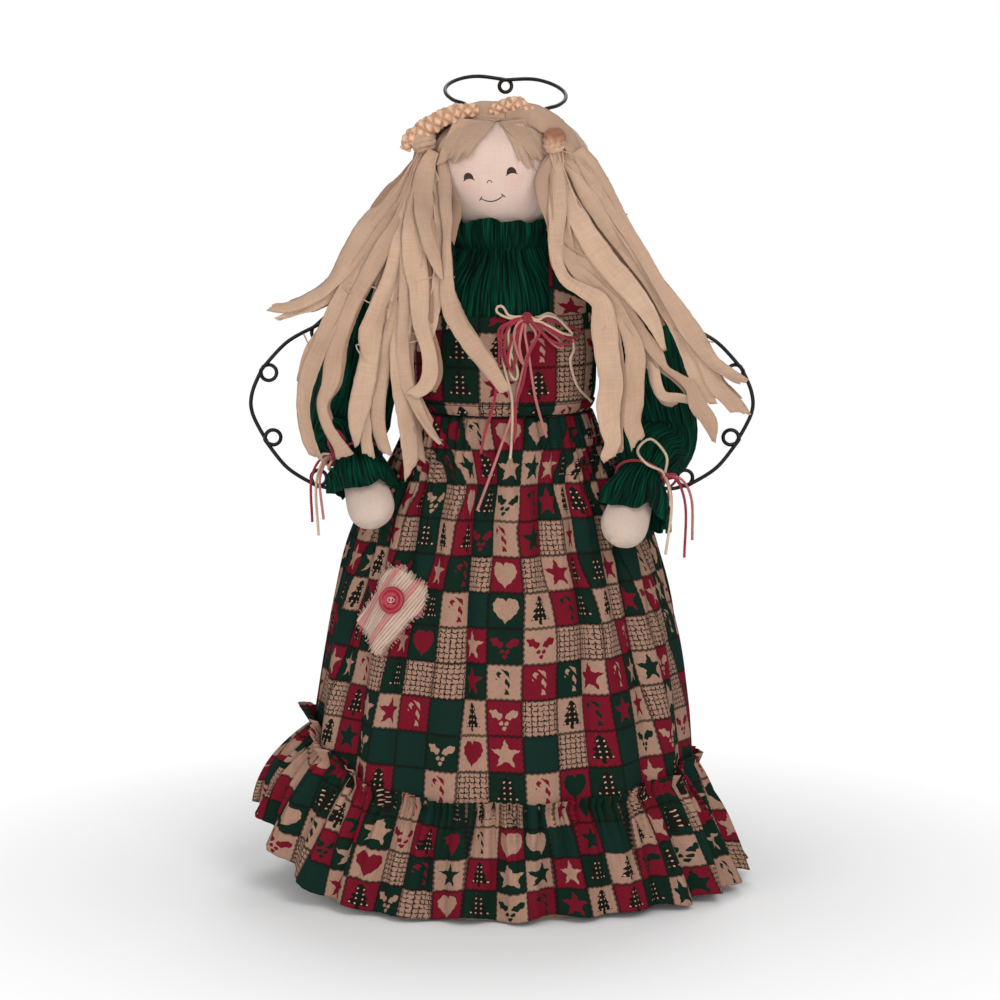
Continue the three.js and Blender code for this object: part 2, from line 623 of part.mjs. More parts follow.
// Rolls from the crown to the ties, the wound ties, and the pigtails that hang from them
const bowFront = -(TORSO_HALF_DEPTH + JUMPER_OUT + 2 * KNOT_RADIUS + CLOTH);
const HAIR_Y = Math.min(armLeft.front, armRight.front, bowFront) - HAIR_CLEARANCE;
const PIGTAILS = {
  left: {
    turns: [-1.15, -1.31], tilts: [0.62, 1.08], rollOut: 3.3, tieOut: 4.1, tuck: 2.6,
    strips: [
      [[-20, -22], [-43, -52], [-68, -66], [-85, -73]],
      [[-22, -30], [-46, -66], [-54, -96], [-64, -122], [-58, -147]],
      [[-16, -32], [-39, -70], [-46, -104], [-44, -146]],
      [[-10, -36], [-26, -80], [-31, -114], [-34, -150]],
      [[-5, -44], [-15, -84], [-18, -120], [-18, -153]],
      [[2, -40], [-4, -84], [-6, -124], [-1, -161]],
      [[9, -36], [11, -74], [6, -112], [9, -148]],
      [[13, -26], [15, -44], [12, -84], [4, -112]],
      [[9, -38], [12, -72], [31, -102], [45, -117]],
    ],
  },
  right: {
    turns: [0.4, 0.73], tilts: [0.5, 1.0], rollOut: 2.6, tieOut: 3, tuck: 1.4,
    strips: [
      [[-1, -22], [0, -44], [8, -58], [22, -68], [27, -100]],
      [[28, -14], [45, -40], [60, -66], [84, -96], [103, -128]],
      [[24, -18], [44, -50], [62, -80], [82, -104], [86, -144]],
      [[18, -24], [38, -62], [54, -94], [80, -122]],
      [[12, -34], [25, -74], [28, -114], [33, -152]],
      [[15, -28], [35, -70], [40, -112], [49, -146]],
      [[9, -36], [20, -80], [52, -112], [57, -134]],
      [[21, -20], [49, -60], [68, -92], [102, -114]],
    ],
  },
};

function strip(root, rows, pile) {
  const points = rows.map(([x, z], i) => {
    const forward = i === 0 ? mix(root.y, HAIR_Y, 0.7) : HAIR_Y;
    return vec(root.x + x, forward - pile * STRIP_PILE, root.z + z);
  });
  const route = new THREE.CatmullRomCurve3([root, ...points]);
  const at = (u, v) => {
    const along = route.getTangent(THREE.MathUtils.clamp(v, 0, 1));
    const across = along.cross(vec(0, 1, 0)).normalize();
    const width = STRIP_WIDTH * mix(0.4, 1, THREE.MathUtils.smoothstep(v, 0, 0.3));
    return route.getPoint(THREE.MathUtils.clamp(v, 0, 1)).addScaledVector(across, (u - 0.5) * width);
  };
  return sheet(at, 1, 2 * points.length, { thick: STRIP_THICK });
}

// A point over the crown, by its turn round the head and its tilt from upright
function overCrown(turn, tilt, out) {
  const middle = HEAD_Z + CROWN_MIDDLE * HEAD_HEIGHT;
  const [halfWidth, halfDepth] = headAt(middle);
  const shrink = Math.sin(tilt);
  const rise = (CROWN_Z - middle + out) * Math.cos(tilt);
  const oval = [shrink * (halfWidth + out), shrink * (halfDepth + out)];
  return around(oval, turn, middle + rise);
}

for (const [name, { turns, tilts, rollOut, tieOut, tuck, strips }] of Object.entries(PIGTAILS)) {
  const path = [0, 0.25, 0.5, 0.75, 1].map((t) => ({
    at: overCrown(mix(...turns, t), mix(...tilts, t), rollOut + ROLL_RADIUS),
    radius: ROLL_RADIUS * mix(0.7, 1, Math.sin(Math.PI * t)),
  }));
  const end = path[path.length - 1];
  place(`hair_roll_${name}`, loft(ringsAlong(path, 9)), 'muslin');
  const tieTop = end.at.z - end.radius + tuck;
  const tieZ = tieTop - TIE_HEIGHT / 2;
  const seat = around(headAt(tieZ), turns[1], tieZ, tieOut + FIT + TIE_RADIUS);
  const groove = TIE_RADIUS * TIE_GROOVE;
  const wraps = [[0, -TIE_HEIGHT]];
  for (let k = TIE_TURNS; k > 0; k -= 1) {
    wraps.push([groove, -k * TIE_BAND], [TIE_RADIUS, -(k - 0.5) * TIE_BAND]);
  }
  const tie = turned([...wraps, [groove, 0], [0, 0]], TIE_SIDES);
  place(`pigtail_tie_${name}`, tie.rotateX(Math.PI / 2).translate(seat.x, seat.y, tieTop), 'muslin');
  const root = vec(seat.x, seat.y, tieTop - TIE_HEIGHT - FIT - PIGTAIL_ROOT);
  const hanging = strips.map((rows, k) => strip(root, rows, k % STRIP_LAYERS));
  place(`pigtail_${name}`, join(ball(root, PIGTAIL_ROOT), ...hanging), 'muslin');
}

// A full turn of wire at a point of its route, towards the inside, stepping aside to pass itself
function curl(at, along, inside, aside, radius) {
  return Array.from({ length: 9 }, (_, k) => {
    const turn = (2 * Math.PI * k) / 8;
    return at.clone().addScaledVector(inside, radius * (1 - Math.cos(turn)))
      .addScaledVector(along, radius * Math.sin(turn)).addScaledVector(aside, k / 8 - 0.5);
  });
}
const BORE = WIRE / 2 + FIT;
const CASING_RADIUS = BORE + CASING_WALL;
const TURN_STEP = WIRE + WING_TURN_GAP;
const CASING_SIDES = 10;
function casing(length) {
  const wall = [[BORE, 0], [CASING_RADIUS, 0], [CASING_RADIUS, length], [BORE, length], [BORE, 0]];
  return turned(wall, CASING_SIDES);
}

// Wings: an outline across from the doll's middle and up from the waist, curled inward at the marked points
const bibMiddle = blouseAt(BIB_Z + BIB_HEIGHT / 2);
const bibBack = -frontOf(bibMiddle, WING_ROOT_X - CASING_RADIUS, JUMPER_OUT + CLOTH / 2);
const WING_Y = bibBack + FIT + CASING_RADIUS;
const WING_CENTRE = [88, 2];
const WING = [
  [24, 56], [48, 58], [74, 57], [92, 52], [106, 41, 'curl'], [122, 32], [136, 17, 'curl'], [142, 3],
  [142, -9], [134, -25, 'curl'], [122, -40], [106, -50, 'curl'], [92, -52], [66, -40], [40, -19],
  [WING_ROOT_X + 5, -2],
];
for (const [name, side] of [['left', -1], ['right', 1]]) {
  const barPoint = (t) => vec(side * WING_ROOT_X, WING_Y, BIB_Z + t * (BIB_HEIGHT + WIRE));
  const bar = [0, 0.25, 0.5, 0.75, 1].map(barPoint);
  const corner = vec(side * (WING_ROOT_X + 2), WING_Y, BIB_TOP_Z + 3 * WIRE);
  let step = 1;
  const wire = WING.flatMap(([x, z, mark], i) => {
    const at = vec(side * x, WING_Y + (step * TURN_STEP) / 2, WAIST_Z + z);
    if (mark !== 'curl') return [at];
    const [before, after] = [WING[i - 1], WING[i + 1]];
    const along = vec(side * (after[0] - before[0]), 0, after[1] - before[1]).normalize();
    const inside = vec(side * WING_CENTRE[0], 0, WAIST_Z + WING_CENTRE[1]).sub(at).setY(0);
    inside.addScaledVector(along, -inside.dot(along)).normalize();
    const aside = vec(0, -step * TURN_STEP, 0);
    const turn = curl(vec(at.x, WING_Y, at.z), along, inside, aside, CURL_RADIUS);
    step = -step;
    return turn;
  });
  place(`wing_wire_${name}`, tube([...bar, corner, ...wire], WIRE), 'wire');
  const sleeve = casing(BIB_HEIGHT - 2 * CASING_RADIUS).rotateX(Math.PI / 2);
  place(`wing_casing_${name}`, sleeve.translate(side * WING_ROOT_X, WING_Y, BIB_Z + CASING_RADIUS), 'print');
}

// Halo: a bar in a casing on the back of the head, two legs, and a ring with one curl at the far side
const HALO_BAR_Z = CROWN_Z - HALO_BAR_DROP;
const HALO_BAR_Y = headAt(HALO_BAR_Z)[1] + CAP_OUT + FIT + CASING_RADIUS;
const HALO_Z = CROWN_Z + HALO_LIFT;
const haloMiddleY = HALO_BAR_Y + HALO_HALF_DEPTH * 0.35;
const haloPoint = (turn) => vec(HALO_MIDDLE_X + HALO_HALF_WIDTH * Math.sin(turn),
  haloMiddleY + HALO_HALF_DEPTH * Math.cos(turn), HALO_Z + HALO_RISE * Math.cos(turn));
const haloBar = [-0.85, -0.4, 0, 0.4, 0.85].map((t) => vec(t * HALO_LEG_X, HALO_BAR_Y, HALO_BAR_Z));
const haloLeg = (side) => [vec(side * HALO_LEG_X, HALO_BAR_Y, HALO_BAR_Z + 1.5 * WIRE),
  vec(side * HALO_LEG_X, HALO_BAR_Y, mix(HALO_BAR_Z, HALO_Z, 0.4)),
  vec(side * HALO_LEG_X, HALO_BAR_Y, mix(HALO_BAR_Z, HALO_Z, 0.75))];
const halfRing = [1, 0.86, 0.72, 0.58, 0.44, 0.3, 0.17].map((share) => share * HALO_NEAR);
const haloCurl = curl(haloPoint(0), vec(-1, 0, 0), vec(0, 0, -1), vec(0, TURN_STEP, 0), HALO_CURL_RADIUS);
const haloRight = [...haloLeg(1), ...halfRing.map((turn) => haloPoint(turn))];
const haloLeft = [...haloLeg(-1), ...halfRing.map((turn) => haloPoint(-turn))].reverse();
place('halo_wire', tube([...haloBar, ...haloRight, ...haloCurl, ...haloLeft], WIRE), 'wire');
const haloCasing = casing(HALO_CASING).rotateZ(-Math.PI / 2);
place('halo_casing', haloCasing.translate(-HALO_CASING / 2, HALO_BAR_Y, HALO_BAR_Z), 'muslin');

// Yarn: a knot with loops and tails, one body with the knot that they pass through
// The front of the dress at a place, for yarn that lies on it
function dressFront(x, z, lift) {
  return z > SKIRT_TOP_Z ? frontOf(blouseAt(Math.min(z, BIB_TOP_Z)), x, JUMPER_OUT + CLOTH / 2 + lift)
    : frontOf(skirtAt(z), x, SKIRT_FOLD_DEPTH + CLOTH / 2 + lift);
}
const BOW_X = 13.5;
const BOW_LOOPS = [
  [[-5, -12], [-9, -24], [-6, -31], [-2, -18]], [[-11, -3], [-17, -12], [-13, -22], [-6, -12]],
  [[9, 1], [20, -6], [27, -11], [14, -11]], [[8, -7], [16, -16], [12, -23], [4, -12]],
  [[-9, 4], [-16, 3], [-11, -2]],
];
const BOW_TAILS = [
  [[-10, -12], [-17, -25], [-25, -49], [-27, -61], [-23, -72]],
  [[-5, -16], [-10, -29], [-9, -44], [-7, -59]],
  [[-3, -22], [-7, -44], [-15, -74], [-20, -92], [-28, -104]], [[1, -21], [6, -49], [13, -65]],
  [[10, -1], [22, -11], [25, -29], [29, -54]],
];
const bowKnot = vec(BOW_X, dressFront(BOW_X, BIB_TOP_Z, KNOT_RADIUS + LAYER_GAP), BIB_TOP_Z);
const onDress = ([dx, dz]) => {
  const [x, z] = [BOW_X + dx, BIB_TOP_Z + dz];
  return vec(x, dressFront(x, z, YARN_LIFT + YARN / 2), z);
};
const bowStrands = [
  ...BOW_LOOPS.map((rows) => [bowKnot, ...rows.map(onDress), bowKnot]),
  ...BOW_TAILS.map((rows) => [bowKnot, ...rows.map(onDress)]),
].map((points) => tube(points, YARN, { sides: 4, steps: 2 }));
place('yarn_bow', join(ball(bowKnot, KNOT_RADIUS), ...bowStrands), 'yarn');

// Wrist ties: a turn round the drawn-in sleeve, a knot on its outer front, two loops and three tails
const WRIST_TAILS = [[-3, 38], [2, 44], [6, 34]];
for (const [name, { side, wrist, along }] of Object.entries({ left: armLeft, right: armRight })) {
  const turnRadius = TIE_OUT + CLOTH / 2 + 3 * (YARN / 2 + FIT);
  const ring = new THREE.TorusGeometry(turnRadius, YARN / 2, 5, 16);
  ring.applyQuaternion(new THREE.Quaternion().setFromUnitVectors(vec(0, 0, 1), along));
  ring.translate(wrist.x, wrist.y, wrist.z);
  const out = vec(side * 0.85, -0.5, 0);
  out.addScaledVector(along, -out.dot(along)).normalize();
  const beside = vec(-out.y, out.x, 0).normalize();
  const wristKnot = wrist.clone().addScaledVector(out, turnRadius + YARN / 2);
  const hang = (reach, shift, fall) => wristKnot.clone().addScaledVector(out, reach)
    .addScaledVector(beside, shift).add(vec(0, 0, -fall));
  const strands = WRIST_TAILS.map(([shift, fall]) => [wristKnot, hang(7, shift, 3),
    hang(CUFF_FLARE + 3, shift * 1.5, fall * 0.4), hang(CUFF_FLARE + 2, shift * 2, fall)]);
  for (const turn of [-1, 1]) {
    const loop = [hang(7, turn * 5, -6), hang(10, turn * 10, -1), hang(7, turn * 6, 5)];
    strands.push([wristKnot, ...loop, wristKnot]);
  }
  const yarn = strands.map((points) => tube(points, YARN, { sides: 4, steps: 2 }));
  place(`wrist_tie_${name}`, join(ring, ball(wristKnot, KNOT_RADIUS * 0.75), ...yarn), 'yarn');
}

export default doll;
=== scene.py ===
"""The looks of the angel tree topper: cloth, hair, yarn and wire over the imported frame.

Shapes are worked out in millimetres, as in the part's source, and made in metres. The doll faces -Y.
"""
import math

import bpy
import numpy as np
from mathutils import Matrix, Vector


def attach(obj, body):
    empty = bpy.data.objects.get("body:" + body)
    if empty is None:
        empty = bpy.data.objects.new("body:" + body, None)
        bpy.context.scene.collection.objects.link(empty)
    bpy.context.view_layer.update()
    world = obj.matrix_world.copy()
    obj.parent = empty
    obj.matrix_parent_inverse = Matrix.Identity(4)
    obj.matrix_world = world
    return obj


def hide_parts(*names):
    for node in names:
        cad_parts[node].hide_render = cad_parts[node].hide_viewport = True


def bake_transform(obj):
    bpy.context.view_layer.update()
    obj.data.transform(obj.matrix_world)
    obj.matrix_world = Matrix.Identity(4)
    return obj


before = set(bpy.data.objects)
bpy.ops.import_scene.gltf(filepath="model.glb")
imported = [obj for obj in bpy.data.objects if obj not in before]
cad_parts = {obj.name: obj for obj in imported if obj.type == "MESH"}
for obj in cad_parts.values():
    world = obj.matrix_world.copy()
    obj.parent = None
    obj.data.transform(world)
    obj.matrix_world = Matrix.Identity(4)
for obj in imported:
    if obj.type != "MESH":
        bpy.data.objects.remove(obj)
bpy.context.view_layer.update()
MM = 0.001

# Sizes of the solids that the pieces stand for
FIT, LAYER_GAP, CLOTH = 0.35, 0.8, 1.2
CONE_HEIGHT = 264
TORSO_HEIGHT, TORSO_HALVES, NECK_HALVES = 97, (50, 35), (18.5, 16)
HEAD_HEIGHT, HEAD_HALVES = 76, (36, 33)
WRIST_RADIUS, PALM_RADIUS, HAND_FLATNESS = 9.5, 13, 0.78
NECK_EASE, FRILL_WAVES = 5, 14
SLEEVE_RADIUS, SHOULDER_DROP, CUFF_FLARE, ELBOW_OUT, ELBOW_FORWARD = 22.5, 38, 8.5, 12, 8
BAND_HEIGHT, BIB_HEIGHT, BIB_HALF_ANGLE = 5.5, 49, 1.2
STRAP_WIDTH, STRAP_X, STRAP_EASE = 20, 36, 2.4
SKIRT_HEM, SKIRT_FOLDS, SKIRT_FOLD_DEPTH = (106, 96), 14, 3.5
RUFFLE_HEIGHT, RUFFLE_HEM, RUFFLE_WAVES, RUFFLE_WAVE_DEPTH = 62, (137, 103), 26, 5
HEM_CLEARANCE, SEAM_LIFT, HEM_LIFT = 1.5, (16, 8), (36, 5)
PATCH_SIZE, PATCH_TURN, PATCH_ANGLE, PATCH_Z = (28, 41), 0.6, -0.72, 166
WIRE, YARN, KNOT_RADIUS, YARN_LIFT = 2.2, 1.7, 3.6, 1.6

TORSO_Z = CONE_HEIGHT + FIT
NECK_Z = TORSO_Z + TORSO_HEIGHT
HEAD_Z = NECK_Z + FIT
CROWN_Z = HEAD_Z + HEAD_HEIGHT
WAIST_Z = TORSO_Z + BAND_HEIGHT
BIB_Z = WAIST_Z + BAND_HEIGHT + FIT
BIB_TOP_Z = BIB_Z + BIB_HEIGHT
SKIRT_TOP_Z = WAIST_Z - LAYER_GAP
BLOUSE_OUT = LAYER_GAP + CLOTH / 2
JUMPER_OUT = BLOUSE_OUT + CLOTH + LAYER_GAP
SIDES = {"left": -1, "right": 1}

# Numbers and curves


def smooth(table, at):
    """A smooth curve through (place, value) pairs, held level past its ends."""
    xs, ys = np.array(table, float).T
    at = np.clip(at, xs[0], xs[-1])
    i = np.clip(np.searchsorted(xs, at, side="right") - 1, 0, len(xs) - 2)
    before, after = np.maximum(i - 1, 0), np.minimum(i + 2, len(xs) - 1)
    wide = xs[i + 1] - xs[i]
    t = (at - xs[i]) / wide
    m0 = wide * (ys[i + 1] - ys[before]) / (xs[i + 1] - xs[before])
    m1 = wide * (ys[after] - ys[i]) / (xs[after] - xs[i])
    start = (2 * t**3 - 3 * t**2 + 1) * ys[i] + (t**3 - 2 * t**2 + t) * m0
    return start + (3 * t**2 - 2 * t**3) * ys[i + 1] + (t**3 - t**2) * m1


def step(low, high, at):
    """0 before low, 1 after high, and smooth between."""
    t = np.clip((at - low) / (high - low), 0, 1)
    return t * t * (3 - 2 * t)


def lerp(a, b, t):
    return a + (b - a) * t


def noise(x, y=0.0, seed=0):
    """Smooth noise from -1 to 1 over a plane, the same on each run."""
    x, y = np.broadcast_arrays(np.asarray(x, float), np.asarray(y, float))
    i, j = np.floor(x), np.floor(y)
    fx, fy = step(0, 1, x - i), step(0, 1, y - j)

    def corner(a, b):
        h = np.sin(a * 127.1 + b * 311.7 + seed * 74.7) * 43758.5453
        return 2 * (h - np.floor(h)) - 1

    low = lerp(corner(i, j), corner(i + 1, j), fx)
    return lerp(low, lerp(corner(i, j + 1), corner(i + 1, j + 1), fx), fy)


def together(*parts):
    """Numbers spread to one shape and put side by side, as the coordinates of a grid of points."""
    return np.stack(np.broadcast_arrays(*parts), -1)


def route(points, per=8):
    """A smooth line through points, with the same number of steps between each pair."""
    points = np.array(points, float)
    at = np.arange(len(points))
    fine = np.linspace(0, len(points) - 1, per * (len(points) - 1) + 1)
    return np.stack([smooth(np.stack([at, points[:, k]], 1), fine) for k in range(3)], 1)


def lengths(line):
    """How far along its line each point lies."""
    return np.concatenate([[0], np.cumsum(np.linalg.norm(np.diff(line, axis=0), axis=1))])


def resample(line, count):
    """The same line with evenly spaced points."""
    far = lengths(line)
    at = np.linspace(0, far[-1], count)
    return np.stack([np.interp(at, far, line[:, k]) for k in range(3)], 1)


def unit(v):
    return v / np.maximum(np.linalg.norm(v, axis=-1, keepdims=True), 1e-9)


def along(line):
    return unit(np.gradient(line, axis=0))


def frames(line):
    """Two directions across a line at each point, carried along it without twisting."""
    ahead = along(line)
    side = np.zeros_like(line)
    last = np.array([0, 1.0, 0])
    for k, t in enumerate(ahead):
        last = unit(last - t * (last @ t))
        side[k] = last
    return side, np.cross(ahead, side)


# The doll's sections: half width and half depth at a height

TORSO_SHAPE = [
    (0, 0.7), (0.12, 0.95), (0.3, 1), (0.5, 1), (0.68, 0.9), (0.82, 0.62), (0.93, 0.2), (1, 0),
]
FACE_SHAPE = [(0, 0), (0.1, 0.03), (0.2, 0.18), (0.3, 0.5), (0.42, 0.82), (0.55, 1)]
CROWN_SHAPE = [
    (0.55, 1), (0.66, 0.99), (0.77, 0.92), (0.87, 0.76), (0.94, 0.56), (0.985, 0.3), (1, 0.14),
]
EASE_SHAPE = [(0.7, 0), (0.85, 0.3), (1, 1)]
SIDE_SHAPE = [
    (0, 0), (0.07, 0.11), (0.12, 0.2), (0.19, 0.35), (0.29, 0.56), (0.56, 0.81), (0.81, 0.94), (1, 1),
]
FRONT_SHAPE = [
    (0, 0), (0.07, 0.15), (0.12, 0.21), (0.19, 0.3), (0.29, 0.38), (0.56, 0.66), (0.81, 0.88), (1, 1),
]


def torso_at(z):
    swell = smooth(TORSO_SHAPE, (z - TORSO_Z) / TORSO_HEIGHT)
    return [lerp(n, t, swell) for n, t in zip(NECK_HALVES, TORSO_HALVES)]


def head_at(z):
    t = (z - HEAD_Z) / HEAD_HEIGHT
    swell, crown = smooth(FACE_SHAPE, t), smooth(CROWN_SHAPE, t)
    return [crown * lerp(n, h, swell) for n, h in zip(NECK_HALVES, HEAD_HALVES)]


def blouse_at(z):
    ease = NECK_EASE * smooth(EASE_SHAPE, (z - TORSO_Z) / TORSO_HEIGHT)
    return [half + ease for half in torso_at(z)]


def skirt_at(z):
    t = (SKIRT_TOP_Z - z) / (SKIRT_TOP_Z - RUFFLE_HEIGHT)
    waist = [half + JUMPER_OUT for half in blouse_at(WAIST_Z)]
    shapes = smooth(SIDE_SHAPE, t), smooth(FRONT_SHAPE, t)
    return [lerp(w, h, s) for w, h, s in zip(waist, SKIRT_HEM, shapes)]


def skirt_fold(angle, z):
    t = np.clip((SKIRT_TOP_Z - z) / (SKIRT_TOP_Z - RUFFLE_HEIGHT), 0, 1)
    return SKIRT_FOLD_DEPTH * lerp(0.1, 1, t) * np.cos(SKIRT_FOLDS * (angle - PATCH_ANGLE))


def side_lift(lift, angle, power):
    share = np.sin(angle)
    return np.where(share < 0, lift[0], lift[1]) * np.abs(share) ** power


def seam_z(angle):
    return RUFFLE_HEIGHT + side_lift(SEAM_LIFT, angle, 3)


def hem_z(angle):
    return HEM_CLEARANCE + side_lift(HEM_LIFT, angle, 6)


def around(halves, angle, z, out=0.0):
    """A point round the doll: the angle is 0 at the front and positive towards +X."""
    x = (halves[0] + out) * np.sin(angle)
    y = -(halves[1] + out) * np.cos(angle)
    return together(x, y, z)


def front_of(halves, x, out=0.0):
    share = np.minimum(np.abs(x) / (halves[0] + out), 1)
    return -(halves[1] + out) * np.sqrt(1 - share * share)


# Meshes


def piece(name, points, faces, material, body, uv=None, uv_faces=None):
    """A smooth-shaded mesh that rides on a body, if one is named; uv is in millimetres of cloth."""
    mesh = bpy.data.meshes.new(name)
    mesh.from_pydata((np.asarray(points) * MM).tolist(), [], [list(map(int, f)) for f in faces])
    if uv is not None:
        order = np.concatenate([np.asarray(f) for f in (faces if uv_faces is None else uv_faces)])
        layer = mesh.uv_layers.new(name="cloth")
        layer.data.foreach_set("uv", np.asarray(uv, np.float32)[order].ravel())
    mesh.polygons.foreach_set("use_smooth", np.ones(len(mesh.polygons), bool))
    mesh.materials.append(material)
    mesh.update()
    obj = bpy.data.objects.new(name, mesh)
    bpy.context.scene.collection.objects.link(obj)
    if body:
        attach(obj, body)
    return obj


def thicken(obj, thick):
    shell = obj.modifiers.new("thickness", "SOLIDIFY")
    shell.thickness = thick * MM
    shell.offset = 0
    return obj


def quads(columns, rows, ring=False):
    """Faces of a grid of points, and the same faces on a grid that isn't closed into a ring."""
    i, j = np.meshgrid(np.arange(columns), np.arange(rows))
    i, j = i.ravel(), j.ravel()
    wide = columns if ring else columns + 1

    def ids(wide, wrap):
        a, b = i, (i + 1) % wide if wrap else i + 1
        return np.stack([j * wide + a, j * wide + b, (j + 1) * wide + b, (j + 1) * wide + a], 1)

    return ids(wide, ring), ids(columns + 1, False)


def cloth(name, points, material, body, uv=None, ring=False, thick=0.5):
    """A sheet over a grid of points, rows by columns; a ring's last column repeats its first."""
    rows, columns = points.shape[0] - 1, points.shape[1] - 1
    faces, uv_faces = quads(columns, rows, ring)
    if uv is None:
        across = np.linalg.norm(np.diff(points, axis=1), axis=2).mean(0)
        down = np.linalg.norm(np.diff(points, axis=0), axis=2).mean(1)
        u = np.concatenate([[0], np.cumsum(across)])
        v = np.concatenate([[0], np.cumsum(down)])
        uv = np.stack(np.meshgrid(u, -v), -1)
    grid = points[:, :-1] if ring else points
    obj = piece(name, grid.reshape(-1, 3), faces, material, body, uv.reshape(-1, 2), uv_faces)
    return thicken(obj, thick)


def capped(name, rings, material, body, uv=None):
    """A closed body lofted through rings of points, with a fan at each end."""
    count, sides = rings.shape[:2]
    faces, uv_faces = quads(sides, count - 1, ring=True)
    if uv is None:
        girth = np.linalg.norm(rings - np.roll(rings, 1, axis=1), axis=2).sum(1).mean()
        far = lengths(rings.mean(1))
        uv = np.stack(np.meshgrid(np.linspace(0, girth, sides + 1), far), -1)
    points = np.concatenate([rings.reshape(-1, 3), rings[:1].mean(1), rings[-1:].mean(1)])
    places = np.concatenate([uv.reshape(-1, 2), uv[0].mean(0)[None], uv[-1].mean(0)[None]])
    s = np.arange(sides)
    t = (s + 1) % sides
    ends = count * sides, count * sides + 1
    uv_ends = count * (sides + 1), count * (sides + 1) + 1
    top, uv_top = (count - 1) * sides, (count - 1) * (sides + 1)
    fans = [[ends[0], b, a] for a, b in zip(s, t)] + [[ends[1], top + a, top + b] for a, b in zip(s, t)]
    uv_fans = [[uv_ends[0], a + 1, a] for a in s] + [[uv_ends[1], uv_top + a, uv_top + a + 1] for a in s]
    both = [*faces, *fans], [*uv_faces, *uv_fans]
    return piece(name, points, both[0], material, body, places, both[1])


def tube(line, radius, sides=10, plies=0, pitch=5.0):
    """Rings of points along a line, round or of twisted plies."""
    side, other = frames(line)
    turn = np.linspace(0, math.tau, sides, endpoint=False)
    far = lengths(line)[:, None]
    size = np.broadcast_to(np.asarray(radius, float).reshape(-1, 1), (len(line), 1))
    if plies:
        size = size * (0.84 + 0.16 * np.cos(plies * (turn[None] - math.tau * far / pitch)))
    x, y = np.cos(turn)[None] * size, np.sin(turn)[None] * size
    return line[:, None] + side[:, None] * x[..., None] + other[:, None] * y[..., None]

# Materials


def linear(r, g, b):
    """An sRGB colour, 0 to 255, as the shader's own numbers."""
    shares = [c / 255 for c in (r, g, b)]
    return [c / 12.92 if c <= 0.04045 else ((c + 0.055) / 1.055) ** 2.4 for c in shares] + [1.0]


class Value:
    """A number in a material's nodes that can be reckoned with."""

    def __init__(self, nodes, socket):
        self.nodes, self.socket = nodes, socket

    def op(self, kind, *others):
        node = self.nodes.new("ShaderNodeMath")
        node.operation = kind
        for k, item in enumerate((self, *others)):
            if isinstance(item, Value):
                self.nodes.id_data.links.new(item.socket, node.inputs[k])
            else:
                node.inputs[k].default_value = item
        return Value(self.nodes, node.outputs[0])

    def __add__(self, other):
        return self.op("ADD", other)

    def __sub__(self, other):
        return self.op("SUBTRACT", other)

    def __mul__(self, other):
        return self.op("MULTIPLY", other)

    def __truediv__(self, other):
        return self.op("DIVIDE", other)

    def __lt__(self, other):
        return self.op("LESS_THAN", other)

    def __gt__(self, other):
        return self.op("GREATER_THAN", other)

    def __abs__(self):
        return self.op("ABSOLUTE")

    def near(self, place, half):
        """1 within half of a place, else 0."""
        return abs(self - place) < half

    def tri(self):
        """A zigzag from 0 to 0.5, one tooth for each 1."""
        return abs(self.op("FRACT") - 0.5)

    def hypot(self, other):
        return (self * self + other * other).op("SQRT")


